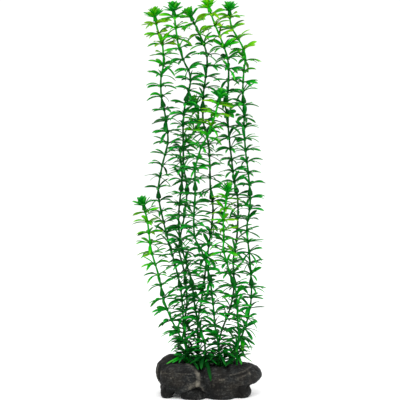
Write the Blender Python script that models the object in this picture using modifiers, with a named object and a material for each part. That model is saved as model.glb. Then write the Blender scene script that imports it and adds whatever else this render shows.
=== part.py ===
"""Aquarium waterweed ornament: nine strands of plug-together sprigs, standing in a rock base.

Metres, +Z up, front towards -Y. The origin is the middle of the flat underside of the base.
Each strand is a row of moulded sprigs. A sprig has a bell-shaped socket at its lower end, which sits
over the pin of the sprig below it, and the top one carries a crown of young leaves on its own pin.
"""
import itertools
import math
import random

import bmesh
import bpy
import numpy as np
from mathutils import Vector

MM = 0.001

# Three-sided stem: angle from corner to corner, and from one root of a whorl band to the next
CORNER_STEP = 120.0
BAND_STEP = 60.0
FRAME_STEP = 0.5 * MM

# Stem, pin and bell-shaped socket
STEM_RADIUS = 1.0 * MM
BAND_HALF_HEIGHT = 0.8 * MM
PIN_RISE = 1.9 * MM
PIN_RADIUS = 0.9 * MM
SOCKET_DEPTH = 2.3 * MM
SOCKET_RADIUS = 1.75 * MM
BELL_RADIUS = 2.8 * MM
BELL_HEIGHT = 5.5 * MM

# Whorls of leaves along a sprig
SPRIG_WHORLS = 8
FIRST_WHORL_DROP = 2.0 * MM
LAST_WHORL_RISE = 7.9 * MM
FOOT_WHORL_PITCH = 8.1 * MM
LEAF_STEP = 72.0
LEAF_ROOTS = (0, 1, 2, 4, 5)
WHORL_TURN = 39.0
WHORL_TURN_SPREAD = 9.0
LEAF_REACH = 11.7 * MM
LEAF_REACH_SPREAD = 0.8 * MM
LEAF_HALF_WIDTH = 1.25 * MM
LEAF_MIDDLE = 0.55
LEAF_RISE = 17.0
LEAF_RISE_SPREAD = 13.0
LEAF_DROOP = 12.0
LEAF_DROOP_SPREAD = 8.0
LEAF_TURN_SPREAD = 7.0
LEAF_ROLL = 45.0
UPRIGHT_SHARE = 0.14
UPRIGHT_RISE = 56.0
HANGING_SHARE = 0.08
HANGING_RISE = -22.0
UNDER_BELL_RISE = 11.0

# Crown of young leaves: collar, then reach and rise of the outer ring and of the inner ring
COLLAR_HEIGHT = 2.4 * MM
COLLAR_RADIUS = 2.5 * MM
COLLAR_TOP_RADIUS = 1.3 * MM
CROWN_BAND = 0.8 * MM
CROWN_TOP_RADIUS = 0.7 * MM
CROWN_RINGS = ((8.6 * MM, 25.0), (7.8 * MM, 67.0))
CROWN_RING_LEAVES = 6
CROWN_REACH_SPREAD = 0.5 * MM
CROWN_RISE_SPREAD = 7.0
CROWN_DROOP = 4.0
CROWN_HALF_WIDTH = 1.35 * MM

# Room kept between one piece and the next. Each sample is a share of the way along a line of the
# leaf and the half width kept free there; the tries are extra turn, extra rise and share of reach.
GAP = 0.3 * MM
ROCK_ROOM = 1.3 * MM
ARCH_SAMPLES = ((0.14, 0.9 * MM), (0.30, 1.1 * MM), (0.45, 1.3 * MM), (0.60, 1.3 * MM), (0.80, 1.1 * MM),
                (1.00, 0.7 * MM))
CHORD_SAMPLES = ((0.20, 0.9 * MM), (0.35, 0.8 * MM), (0.50, 0.7 * MM), (0.65, 0.6 * MM))
EDGE_SAMPLES = ((0.50, 0.4 * MM), (0.75, 0.4 * MM), (1.00, 0.4 * MM))
STEM_SAMPLE = 2.0 * MM
STEM_MARK = -1
CROWN_SEED = 100
SPRIG_SEED = 500
LEAF_TRIES = (
    (0, 0, 1.0), (9, 0, 1.0), (-9, 0, 1.0), (0, 14, 1.0), (0, -14, 1.0), (10, 12, 0.95), (-10, 12, 0.95),
    (10, -12, 0.95), (-10, -12, 0.95), (0, 28, 0.95), (0, -28, 0.9), (14, 26, 0.95), (-14, 26, 0.95),
    (0, 44, 0.9), (14, 12, 0.85), (-14, 12, 0.85), (0, 0, 0.8), (0, 22, 0.75), (0, -22, 0.75), (0, 60, 0.8),
    (0, 34, 0.65), (0, -34, 0.6), (0, 8, 0.45), (0, -8, 0.35),
)

# Sockets in the rock for the lowest sprigs
PEG_BOTTOM = 9.0 * MM
SOCKET_FLOOR = 8.4 * MM
FOOT_SOCKET_RADIUS = 1.6 * MM
FOOT_SOCKET_TOP = 45.0 * MM

# Route of each strand from its crown down to its foot, as rows of height, x and y in millimetres,
# then the heights of the socket rims, the crown's first, and the whorls on its lowest sprig.
STRANDS = {
    "tall_1": {
        "route": ((285, -40, 6), (276, -38, 6.5), (268, -35, 7), (252, -34, 7.5), (240, -36, 8),
                  (226, -35.5, 8), (217, -33.5, 8.5), (200, -31, 9), (191.5, -31, 9), (175, -35, 9.5),
                  (158, -38, 10), (147.5, -37.5, 10), (131, -34, 9), (115, -30, 8.5), (97.5, -25, 8),
                  (79.5, -21, 6), (63, -19.5, 4.5), (48, -18.5, 2.5), (32, -16.5, 0)),
        "rims": (283.8, 219, 149.5, 81.5), "foot_whorls": 7},
    "tall_2": {
        "route": ((283.5, -25, -11), (268.5, -23, -10.5), (261, -21, -10), (253, -18, -9.5),
                  (246, -14.5, -9), (239, -13.5, -9), (231.5, -15, -8.5), (222, -17.5, -8), (208, -19, -7),
                  (191, -19, -6), (174, -19, -5), (154.5, -21, -4), (137, -22.5, -5), (120, -21.5, -6),
                  (104, -17.5, -7), (91, -13.5, -7.5), (76, -11, -8), (67, -10, -8.5), (50, -5.5, -9),
                  (42.5, -3, -10), (32, -2.5, -11.5)),
        "rims": (288, 224, 156.5, 85.5), "foot_whorls": 7},
    "tall_3": {
        "route": ((284.5, -11.9, 5.5), (275.5, -7.5, 5), (268, -4, 5), (259.5, -1.5, 4.5),
                  (251.5, -1, 4), (243, -2, 4), (227, -4, 3), (209, -4, 3), (191.5, 0, 2.5), (175, 1, 2),
                  (158, 1.5, 2), (147.5, 3, 2), (139, 3.5, 3), (122, 1.5, 4), (105, -1, 5), (88.5, -3, 6),
                  (70.5, -5.5, 8), (54.5, -8, 8.5), (30, -8, 6)),
        "rims": (284, 218, 149.5, 80.5), "foot_whorls": 7},
    "tall_4": {
        "route": ((290, 1.5, -9), (280.5, 5, -8), (272.5, 8.5, -7.5), (257, 14, -6), (249, 15, -5),
                  (241, 15, -4.5), (232, 14.5, -4), (221.5, 12.5, -2.5), (214, 14, -1.5), (197, 15.5, 1.5),
                  (180, 17.5, 4), (163, 19.5, 7), (152, 22, 8.5), (135, 22.5, 9), (118, 21.5, 9),
                  (102, 19, 9), (81.5, 19.5, 8.5), (65, 16.5, 8), (49, 10.5, 7.5), (41.5, 8.5, 7.5),
                  (32, 8, 7)),
        "rims": (290.5, 223.5, 154, 83.5), "foot_whorls": 7},
    "tall_5": {
        "route": ((291, 15.9, 7.5), (285, 16.3, 8), (278.5, 17.8, 8), (271.5, 22, 8), (264, 26, 8.5),
                  (256.5, 28, 9), (248.5, 27, 9), (231, 26, 10), (220, 27, 9), (203.5, 27, 5), (186.5, 28, 1.5),
                  (170, 30, -2.5), (151, 31.5, -6.5), (143.5, 31, -7), (128.5, 29, -6.5), (111.5, 30.5, -6),
                  (94.5, 32, -5), (75, 32.5, -1.5), (57, 29.5, 1.5), (41, 24, 3.5), (28.5, 18, 5)),
        "rims": (288.3, 222, 153, 85), "foot_whorls": 7},
    "middle_1": {
        "route": ((221, -10, 18.5), (217, -8.5, 18.5), (210, -7.5, 19), (203, -9, 20), (196, -14, 20.5),
                  (189, -20, 20.5), (181.5, -21.5, 21), (173, -20, 21.5), (163.5, -17, 22),
                  (151.5, -16.5, 23), (134.5, -18.5, 23.5), (116.5, -22, 23.5), (108, -22.5, 24),
                  (91, -18.5, 23), (69.5, -16.5, 20.5), (54.5, -18, 17.5), (39.5, -17.5, 12), (31, -17, 9)),
        "rims": (217.3, 153.5, 82), "foot_whorls": 7},
    "middle_2": {
        "route": ((222.5, 7, -19.5), (213.5, 4.5, -20), (205.5, 1.5, -20.5), (199, -0.5, -21),
                  (191.5, -5, -21), (182.5, -8, -21.5), (174, -10, -21.5), (156, -10, -22),
                  (138.5, -11, -21.5), (129.5, -11, -21), (122, -10, -20.5), (114.5, -6, -20),
                  (107, -3, -19.5), (100, -1, -19), (88, 1.5, -17), (71.5, 3.5, -14.5), (54.5, 5, -11.5),
                  (34, 8, -7.5)),
        "rims": (224, 158, 90), "foot_whorls": 8},
    "short_1": {
        "route": ((144.5, -48.5, -8), (134, -46, -7.5), (117.5, -44, -7.5), (109, -42.5, -7),
                  (94, -38, -7.5), (85, -36, -8), (75, -34, -9), (59.5, -28, -10), (44, -20, -9.5),
                  (35, -16, -9)),
        "rims": (142.6, 77), "foot_whorls": 6},
    "short_2": {
        "route": ((157, 14.3, -17), (146, 12.6, -17.5), (137.5, 11, -17.5), (121.5, 11.5, -17.5),
                  (114, 11, -17.5), (104.5, 13.5, -17), (97, 15.5, -16.5), (85.5, 19.5, -15),
                  (78.5, 21, -14), (60.5, 22, -12), (44, 23, -9), (35.5, 21.5, -7.5), (31, 21.5, -7)),
        "rims": (153.5, 87.5), "foot_whorls": 7},
}

# Lobes of the rock: centre x, y, z, the three radii and the tilt about the front-to-back axis.
# Millimetres and degrees.
LOBES = {
    "floor": (2, 1, 7, 29, 19.5, 9.5, 0),
    "left_shoulder": (-27, 0, 17.6, 12.8, 17, 13.6, -8),
    "left_shoulder_back": (-22, 12, 15, 13, 11, 13, 0),
    "left_face": (-21.5, -15.8, 15.5, 14.8, 6.7, 11.5, 0),
    "left_foot": (-31.4, -9, 4.6, 5.6, 8, 6.4, 20),
    "left_foot_back": (-31, 12, 4.2, 5.8, 8, 6, 12),
    "front_left_rim": (-14, -15.6, 17, 9, 6, 8.6, 12),
    "front_middle_rim": (3, -15.2, 16, 11, 5.5, 9.3, -8),
    "front_right_rim": (20, -13.6, 16.6, 11.5, 6.5, 9.2, 4),
    "back_left_rim": (-12, 18, 15, 11, 6, 11.5, 0),
    "back_middle_rim": (4, 19, 14, 13, 5.5, 12, 5),
    "back_right_rim": (20, 15, 14.5, 12, 8, 10.6, 0),
    "right_nose": (28.6, -1, 16.6, 12.2, 14, 8.5, 4),
    "right_foot": (24, -5, 3.8, 8.4, 11, 6.5, 0),
    "right_foot_back": (20, 12, 4, 11, 8, 6, 0),
    "right_face": (10.5, -14.3, 13.6, 20.5, 8, 11, 0),
    "middle_boulder": (-11.5, -14, 2, 9.5, 7.5, 5.8, 0),
    "right_boulder": (9, -12, 4, 12, 10, 8, 6),
    "ridge_stem": (-8.6, -18.6, 16.5, 2.4, 2.5, 7.5, -14),
    "ridge_left": (-16, -19, 9.5, 7.5, 2.8, 2.4, -38),
    "ridge_right": (-4.5, -17.6, 9.5, 5, 2.8, 2.4, 48),
    "left_log_end": (-36.6, -5, 18.6, 3.8, 8.5, 8.5, 0),
}
LOBE_RINGS = 16
LOBE_SEGMENTS = 24
ROCK_VOXEL = 1.9 * MM
ROCK_SMOOTHING = 3
ROCK_KEEP = 0.089
UNDERSIDE_REACH = 100.0 * MM

COLOURS = {
    "rock": ((0.038, 0.035, 0.031), 0.75),
    "crown": ((0.030, 0.260, 0.012), 0.42),
    "upper": ((0.055, 0.270, 0.012), 0.42),
    "lower": ((0.012, 0.150, 0.020), 0.45),
}


def clear_scene():
    """Remove whatever the file holds."""
    for old in list(bpy.data.objects):
        bpy.data.objects.remove(old, do_unlink=True)


def make_material(name):
    """One plain material of the colour and roughness of a kind of piece."""
    colour, roughness = COLOURS[name]
    material = bpy.data.materials.new(name)
    material.use_nodes = True
    shader = material.node_tree.nodes["Principled BSDF"]
    shader.inputs["Base Color"].default_value = (*colour, 1.0)
    shader.inputs["Roughness"].default_value = roughness
    shader.inputs["Metallic"].default_value = 0.0
    return material


def route_slope(route, index):
    """Sideways change per millimetre of height at one row of a route; upright at the foot."""
    if index == len(route) - 1:
        return Vector((0.0, 0.0))
    above = route[max(index - 1, 0)]
    below = route[index + 1]
    return Vector((above[1] - below[1], above[2] - below[2])) / (above[0] - below[0])


def route_point(route, height):
    """Point of a strand's centre line at a height in metres, from a smooth curve through its rows."""
    z = height / MM
    if z <= route[-1][0]:
        side = Vector(route[-1][1:])
    elif z >= route[0][0]:
        side = Vector(route[0][1:]) + route_slope(route, 0) * (z - route[0][0])
    else:
        index = next(i for i in range(len(route) - 1) if z >= route[i + 1][0])
        low, high = route[index + 1], route[index]
        span = high[0] - low[0]
        t = (z - low[0]) / span
        side = (Vector(low[1:]) * (2 * t ** 3 - 3 * t ** 2 + 1)
                + route_slope(route, index + 1) * span * (t ** 3 - 2 * t ** 2 + t)
                + Vector(high[1:]) * (3 * t ** 2 - 2 * t ** 3)
                + route_slope(route, index) * span * (t ** 3 - t ** 2))
    return Vector((side.x * MM, side.y * MM, height))


def route_frame(route, height):
    """Centre, two sideways directions and the upward direction of a strand at a height."""
    along = (route_point(route, height + FRAME_STEP) - route_point(route, height - FRAME_STEP)).normalized()
    across = (Vector((1.0, 0.0, 0.0)) - along * along.x).normalized()
    return route_point(route, height), across, along.cross(across), along


def outward(frame, turn):
    """Direction square to a frame's axis at an angle in degrees round it."""
    angle = math.radians(turn)
    return frame[1] * math.cos(angle) + frame[2] * math.sin(angle)


class Leaf:
    """One leaf: where it roots, its arched middle, its tip and the way its blade faces."""

    def __init__(self, frame, root_turn, turn, rise, droop, reach, half_width, roll, hand):
        out = outward(frame, turn)
        climb = math.radians(rise)
        chord = math.radians(rise - droop)
        half = reach * LEAF_MIDDLE
        normal = frame[3] * math.cos(climb) - out * math.sin(climb)
        self.root_turn = root_turn
        self.side = outward(frame, turn + 90.0) * hand
        self.start = frame[0]
        self.middle = frame[0] + (out * math.cos(climb) + frame[3] * math.sin(climb)) * half
        self.tip = frame[0] + (out * math.cos(chord) + frame[3] * math.sin(chord)) * reach
        lean = math.radians(roll)
        self.edge = self.middle + (self.side * math.cos(lean) + normal * math.sin(lean)) * half_width

    def samples(self):
        """Points along the leaf with the half width there, as rows of x, y, z and width."""
        rows = []
        for share, width in ARCH_SAMPLES:
            if share <= LEAF_MIDDLE:
                point = self.start.lerp(self.middle, share / LEAF_MIDDLE)
            else:
                point = self.middle.lerp(self.tip, (share - LEAF_MIDDLE) / (1.0 - LEAF_MIDDLE))
            rows.append((*point, width))
        for share, width in CHORD_SAMPLES:
            rows.append((*self.start.lerp(self.tip, share), width))
        for share, width in EDGE_SAMPLES:
            rows.append((*self.start.lerp(self.edge, share), width))
            rows.append((*self.tip.lerp(self.edge, share), width))
        return np.array(rows)


class Room:
    """The space that stems, leaves and the rock take up, as balls and lobes."""

    def __init__(self):
        self.balls = np.zeros((0, 4))
        self.strand = np.zeros(0, dtype=int)
        self.whorl = np.zeros(0, dtype=int)

    def add(self, balls, strand, whorl):
        """Take up room for a whorl, or for a stem where the whorl is STEM_MARK."""
        self.balls = np.vstack((self.balls, balls))
        self.strand = np.append(self.strand, np.full(len(balls), strand))
        self.whorl = np.append(self.whorl, np.full(len(balls), whorl))

    def fits(self, balls, strand, whorl):
        """True where a leaf keeps its gap to the rock and to all but its own whorl and stem."""
        if any(near_rock(Vector(ball[:3]), ROCK_ROOM + ball[3]) for ball in balls):
            return False
        other = (self.whorl != whorl) & ~((self.whorl == STEM_MARK) & (self.strand == strand))
        balls_there = self.balls[other]
        apart = np.linalg.norm(balls_there[None, :, :3] - balls[:, None, :3], axis=2)
        return bool(np.all(apart > balls_there[None, :, 3] + balls[:, None, 3] + GAP))


def lobe_axes(tilt):
    """Sideways and upward axes of a lobe tilted about the front-to-back axis."""
    angle = math.radians(tilt)
    return (Vector((math.cos(angle), 0.0, -math.sin(angle))), Vector((math.sin(angle), 0.0, math.cos(angle))))


def near_rock(point, room):
    """True where a point lies in a lobe of the rock grown by the given room."""
    for x, y, z, wide, deep, high, tilt in LOBES.values():
        sideways, upwards = lobe_axes(tilt)
        offset = point - Vector((x, y, z)) * MM
        share = ((offset.dot(sideways) / (wide * MM + room)) ** 2 + (offset.y / (deep * MM + room)) ** 2
                 + (offset.dot(upwards) / (high * MM + room)) ** 2)
        if share < 1.0:
            return True
    return False


def whorl_heights(strand, sprig):
    """Heights of a sprig's whorls, from the top one down."""
    rims = [rim * MM for rim in strand["rims"]]
    first = rims[sprig] - FIRST_WHORL_DROP
    if sprig == len(rims) - 1:
        return [first - FOOT_WHORL_PITCH * k for k in range(strand["foot_whorls"])]
    last = rims[sprig + 1] + LAST_WHORL_RISE
    return [first + (last - first) * k / (SPRIG_WHORLS - 1) for k in range(SPRIG_WHORLS)]


def draw_rise(chance, under_bell):
    """Angle at which a leaf leaves its stem: most rise a little, a few stand up or hang."""
    kind = chance.random()
    rise = LEAF_RISE + chance.uniform(-LEAF_RISE_SPREAD, LEAF_RISE_SPREAD)
    if under_bell:
        return min(rise, UNDER_BELL_RISE)
    if kind < UPRIGHT_SHARE:
        return UPRIGHT_RISE
    if kind > 1.0 - HANGING_SHARE:
        return HANGING_RISE
    return rise


def place_leaf(room, frame, whorl, drawn):
    """The first of the tries that keeps clear of its neighbours, or None."""
    for turn_by, rise_by, reach_share in LEAF_TRIES:
        leaf = Leaf(frame, drawn["root_turn"], drawn["turn"] + turn_by, drawn["rise"] + rise_by,
                    drawn["droop"], drawn["reach"] * reach_share, LEAF_HALF_WIDTH, drawn["roll"],
                    drawn["hand"])
        if room.fits(leaf.samples(), drawn["strand"], whorl):
            room.add(leaf.samples(), drawn["strand"], whorl)
            return leaf
    return None


def lay_out():
    """Work out every piece: its name, strand, place on the strand, whorl turns and leaves."""
    room = Room()
    pieces = []
    marks = itertools.count()
    turns = []
    for number, strand in enumerate(STRANDS.values()):
        top = strand["rims"][0] * MM
        for step in range(int((top - PEG_BOTTOM) / STEM_SAMPLE) + 1):
            point = route_point(strand["route"], PEG_BOTTOM + step * STEM_SAMPLE)
            in_bell = any(-STEM_SAMPLE < point.z - rim * MM < BELL_HEIGHT for rim in strand["rims"])
            room.add(np.array([(*point, BELL_RADIUS if in_bell else STEM_RADIUS)]), number, STEM_MARK)
    for number, (name, strand) in enumerate(STRANDS.items()):
        chance = random.Random(CROWN_SEED + number)
        joint_turns = [chance.uniform(0.0, 360.0) for _ in strand["rims"]]
        turns.append(joint_turns)
        base = strand["rims"][0] * MM + COLLAR_HEIGHT
        mark = next(marks)
        rings = []
        for level, (reach, rise) in enumerate(CROWN_RINGS):
            frame = route_frame(strand["route"], base + CROWN_BAND * (level + 0.5))
            first = joint_turns[0] + BAND_STEP * (level + 1)
            leaves = []
            for place in range(CROWN_RING_LEAVES):
                turn = first + BAND_STEP * place
                leaf = Leaf(frame, turn, turn, rise + chance.uniform(-CROWN_RISE_SPREAD, CROWN_RISE_SPREAD),
                            CROWN_DROOP, reach + chance.uniform(-CROWN_REACH_SPREAD, CROWN_REACH_SPREAD),
                            CROWN_HALF_WIDTH, 0.0, 1.0)
                room.add(leaf.samples(), number, mark)
                leaves.append(leaf)
            rings.append(leaves)
        pieces.append({"name": name + "_crown", "strand": strand, "sprig": None,
                       "joint_turns": joint_turns, "leaves": rings})
    for number, (name, strand) in enumerate(STRANDS.items()):
        chance = random.Random(SPRIG_SEED + number)
        for sprig in range(len(strand["rims"])):
            turn = turns[number][sprig] + BAND_STEP
            whorls = []
            for k, height in enumerate(whorl_heights(strand, sprig)):
                if k:
                    turn += WHORL_TURN + chance.uniform(-WHORL_TURN_SPREAD, WHORL_TURN_SPREAD)
                frame = route_frame(strand["route"], height)
                mark = next(marks)
                leaves = []
                for place, root in enumerate(LEAF_ROOTS):
                    drawn = {
                        "strand": number,
                        "root_turn": turn + BAND_STEP * root,
                        "turn": turn + LEAF_STEP * place + chance.uniform(-LEAF_TURN_SPREAD, LEAF_TURN_SPREAD),
                        "rise": draw_rise(chance, k == 0),
                        "droop": LEAF_DROOP + chance.uniform(-LEAF_DROOP_SPREAD, LEAF_DROOP_SPREAD),
                        "reach": LEAF_REACH + chance.uniform(-LEAF_REACH_SPREAD, LEAF_REACH_SPREAD),
                        "roll": chance.uniform(-LEAF_ROLL, LEAF_ROLL),
                        "hand": chance.choice((-1.0, 1.0)),
                    }
                    leaves.append(place_leaf(room, frame, mark, drawn))
                whorls.append({"height": height, "turn": turn, "leaves": leaves})
            pieces.append({"name": f"{name}_sprig_{sprig + 1}", "strand": strand, "sprig": sprig,
                           "joint_turns": turns[number], "whorls": whorls})
    return pieces


class Stalk:
    """A closed three-sided stem that is lengthened ring by ring, each ring turned against the last."""

    def __init__(self, low, low_radius, high, high_radius, turn):
        self.bm = bmesh.new()
        made = bmesh.ops.create_cone(self.bm, cap_ends=True, segments=3, radius1=STEM_RADIUS,
                                     radius2=STEM_RADIUS, depth=BELL_HEIGHT)
        faces = {face for vert in made["verts"] for face in vert.link_faces}
        self.foot, self.cap = sorted((face for face in faces if len(face.verts) == 3),
                                     key=lambda face: face.calc_center_median().z)
        for corner, vert in enumerate(self.cap.verts):
            below = next(edge.other_vert(vert) for edge in vert.link_edges
                         if edge.other_vert(vert) in self.foot.verts)
            below.co = low[0] + outward(low, turn + CORNER_STEP * corner) * low_radius
            vert.co = high[0] + outward(high, turn + BAND_STEP + CORNER_STEP * corner) * high_radius
        self.turn = turn + BAND_STEP
        self.split_sides()

    def split_sides(self):
        """Cut each quad below the cap along the diagonal up to the left; returns the triangles."""
        upper = list(self.cap.verts)
        triangles = []
        for corner, left in enumerate(upper):
            right = upper[(corner + 1) % 3]
            face = next(face for edge in self.cap.edges for face in edge.link_faces
                        if face is not self.cap and left in face.verts and right in face.verts)
            verts = list(face.verts)
            low_right = next(vert for vert in verts if vert not in upper
                             and any(edge.other_vert(vert) is right for edge in vert.link_edges))
            other, _ = bmesh.utils.face_split(face, low_right, left)
            triangles += [face, other]
        return triangles

    def rise(self, frame, radius, turn):
        """Add a ring with corners at the given turn; returns the triangles of the new band."""
        self.turn += (turn - self.turn) % CORNER_STEP
        self.cap = bmesh.ops.extrude_discrete_faces(self.bm, faces=[self.cap])["faces"][0]
        for corner, vert in enumerate(self.cap.verts):
            vert.co = frame[0] + outward(frame, self.turn + CORNER_STEP * corner) * radius
        return self.split_sides()

    def hollow(self, frame, rim_radius, radius, depth):
        """Press a socket up into the foot."""
        inner = bmesh.ops.extrude_discrete_faces(self.bm, faces=[self.foot])["faces"][0]
        for vert in inner.verts:
            vert.co = frame[0] + (vert.co - frame[0]) * (radius / rim_radius)
        inner = bmesh.ops.extrude_discrete_faces(self.bm, faces=[inner])["faces"][0]
        bmesh.ops.translate(self.bm, verts=list(inner.verts), vec=frame[3] * depth)

    def grow(self, band, frame, leaf):
        """Draw one triangle of a band out into a leaf: one corner to its edge, two to its tip."""
        root_way = outward(frame, leaf.root_turn)
        root = max(band, key=lambda face: (face.calc_center_median() - frame[0]).normalized().dot(root_way))
        band.remove(root)
        upper = [vert for vert in root.verts if (vert.co - frame[0]).dot(frame[3]) > 0.0]
        lead = list(root.verts).index(max(upper, key=lambda vert: vert.co.dot(leaf.side)))
        corners = list(root.verts)
        blade = bmesh.ops.extrude_discrete_faces(self.bm, faces=[root])["faces"][0]
        ends = list(blade.verts)
        for corner, vert in enumerate(ends):
            vert.co = leaf.edge if corner == lead else leaf.tip
        for step in (1, 2):
            across = corners[(lead + step) % 3]
            quad = next(face for face in ends[lead].link_faces
                        if across in face.verts and corners[lead] in face.verts)
            bmesh.utils.face_split(quad, ends[lead], across)
        bmesh.ops.weld_verts(self.bm, targetmap={ends[(lead + 1) % 3]: ends[(lead + 2) % 3]})

    def finish(self, name, material):
        """Turn the stalk into a named object."""
        bmesh.ops.triangulate(self.bm, faces=self.bm.faces[:])
        bmesh.ops.recalc_face_normals(self.bm, faces=self.bm.faces[:])
        mesh = bpy.data.meshes.new(name)
        self.bm.to_mesh(mesh)
        self.bm.free()
        mesh.materials.append(material)
        return bpy.data.objects.new(name, mesh)


def build_sprig(piece, materials):
    """A moulded sprig: bell or peg at the bottom, whorls of leaves, pin at the top."""
    route, rims = piece["strand"]["route"], piece["strand"]["rims"]
    sprig, whorls = piece["sprig"], piece["whorls"][::-1]
    if sprig == len(rims) - 1:
        upright = route_frame(route, route[-1][0] * MM)
        stalk = Stalk(route_frame(route, PEG_BOTTOM), STEM_RADIUS, upright, STEM_RADIUS, whorls[0]["turn"])
    else:
        rim = rims[sprig + 1] * MM
        foot = route_frame(route, rim)
        stalk = Stalk(foot, BELL_RADIUS, route_frame(route, rim + BELL_HEIGHT), STEM_RADIUS,
                      piece["joint_turns"][sprig + 1])
        stalk.hollow(foot, BELL_RADIUS, SOCKET_RADIUS, SOCKET_DEPTH)
    for whorl in whorls:
        stalk.rise(route_frame(route, whorl["height"] - BAND_HALF_HEIGHT), STEM_RADIUS, whorl["turn"])
        band = stalk.rise(route_frame(route, whorl["height"] + BAND_HALF_HEIGHT), STEM_RADIUS,
                          whorl["turn"] + BAND_STEP)
        frame = route_frame(route, whorl["height"])
        for leaf in whorl["leaves"]:
            if leaf:
                stalk.grow(band, frame, leaf)
    stalk.rise(route_frame(route, rims[sprig] * MM + PIN_RISE), PIN_RADIUS, piece["joint_turns"][sprig])
    return stalk.finish(piece["name"], materials["lower" if sprig else "upper"])


def build_crown(piece, materials):
    """The rosette on top of a strand: a collar over the pin and two rings of upright leaves."""
    route = piece["strand"]["route"]
    rim = piece["strand"]["rims"][0] * MM
    turn = piece["joint_turns"][0]
    top = rim + COLLAR_HEIGHT
    foot = route_frame(route, rim)
    stalk = Stalk(foot, COLLAR_RADIUS, route_frame(route, top), COLLAR_TOP_RADIUS, turn)
    stalk.hollow(foot, COLLAR_RADIUS, SOCKET_RADIUS, SOCKET_DEPTH)
    radii = (COLLAR_TOP_RADIUS, CROWN_TOP_RADIUS)
    for level, leaves in enumerate(piece["leaves"]):
        band = stalk.rise(route_frame(route, top + CROWN_BAND * (level + 1)), radii[level],
                          turn + BAND_STEP * (level + 2))
        frame = route_frame(route, top + CROWN_BAND * (level + 0.5))
        for leaf in leaves:
            stalk.grow(band, frame, leaf)
    return stalk.finish(piece["name"], materials["crown"])


def add_box_cutter(name, low, high):
    """Box-shaped cutter between two corners."""
    bpy.ops.mesh.primitive_cube_add(size=1.0, location=(Vector(low) + Vector(high)) / 2)
    cutter = bpy.context.object
    cutter.name = name
    cutter.scale = Vector(high) - Vector(low)
    return cutter


def add_hole_cutter(name, x, y):
    """Six-sided upright cutter for the peg of one strand."""
    depth = FOOT_SOCKET_TOP - SOCKET_FLOOR
    bpy.ops.mesh.primitive_cylinder_add(vertices=6, radius=FOOT_SOCKET_RADIUS, depth=depth,
                                        location=(x * MM, y * MM, SOCKET_FLOOR + depth / 2))
    cutter = bpy.context.object
    cutter.name = name
    return cutter


def cut(body, cutter, cutters):
    """Subtract a cutter from the body and put it away."""
    modifier = body.modifiers.new(cutter.name, "BOOLEAN")
    modifier.operation = "DIFFERENCE"
    modifier.solver = "EXACT"
    modifier.object = cutter
    cutter.hide_render = True
    cutter.display_type = "WIRE"
    for home in list(cutter.users_collection):
        home.objects.unlink(cutter)
    cutters.objects.link(cutter)


def build_rock(materials, cutters):
    """The base: lobes fused into one rounded rock, cut flat below, with a socket for each strand."""
    bm = bmesh.new()
    for x, y, z, wide, deep, high, tilt in LOBES.values():
        made = bmesh.ops.create_uvsphere(bm, u_segments=LOBE_SEGMENTS, v_segments=LOBE_RINGS, radius=1.0)
        sideways, upwards = lobe_axes(tilt)
        for vert in made["verts"]:
            vert.co = (Vector((x, y, z)) + sideways * vert.co.x * wide + Vector((0.0, vert.co.y * deep, 0.0))
                       + upwards * vert.co.z * high) * MM
    mesh = bpy.data.meshes.new("rock_base")
    bm.to_mesh(mesh)
    bm.free()
    mesh.materials.append(materials["rock"])
    rock = bpy.data.objects.new("rock_base", mesh)
    fuse = rock.modifiers.new("fuse", "REMESH")
    fuse.mode = "VOXEL"
    fuse.voxel_size = ROCK_VOXEL
    soften = rock.modifiers.new("soften", "SMOOTH")
    soften.factor = 0.5
    soften.iterations = ROCK_SMOOTHING
    thin = rock.modifiers.new("thin", "DECIMATE")
    thin.ratio = ROCK_KEEP
    below = (-UNDERSIDE_REACH, -UNDERSIDE_REACH, -UNDERSIDE_REACH)
    cut(rock, add_box_cutter("underside", below, (UNDERSIDE_REACH, UNDERSIDE_REACH, 0.0)), cutters)
    for name, strand in STRANDS.items():
        _, x, y = strand["route"][-1]
        cut(rock, add_hole_cutter(name + "_socket", x, y), cutters)
    return rock


def main():
    clear_scene()
    plant = bpy.data.collections.new("waterweed_ornament")
    cutters = bpy.data.collections.new("cutters")
    for collection in (plant, cutters):
        bpy.context.scene.collection.children.link(collection)
    materials = {name: make_material(name) for name in COLOURS}
    plant.objects.link(build_rock(materials, cutters))
    for piece in lay_out():
        build = build_crown if piece["sprig"] is None else build_sprig
        plant.objects.link(build(piece, materials))


main()
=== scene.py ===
# %% [markdown]
# # A moulded waterweed for an aquarium
# The real object is a soft plastic ornament: nine strands of green sprigs that plug into one another, each
# with a crown of young leaves on top, standing in a dark moulded rock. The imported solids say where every
# piece is. This script dresses them: it builds each sprig, crown and the rock again with fine surfaces in
# the same places, gives them their plastic and resin finishes, and lights them as on a white table.

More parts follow.
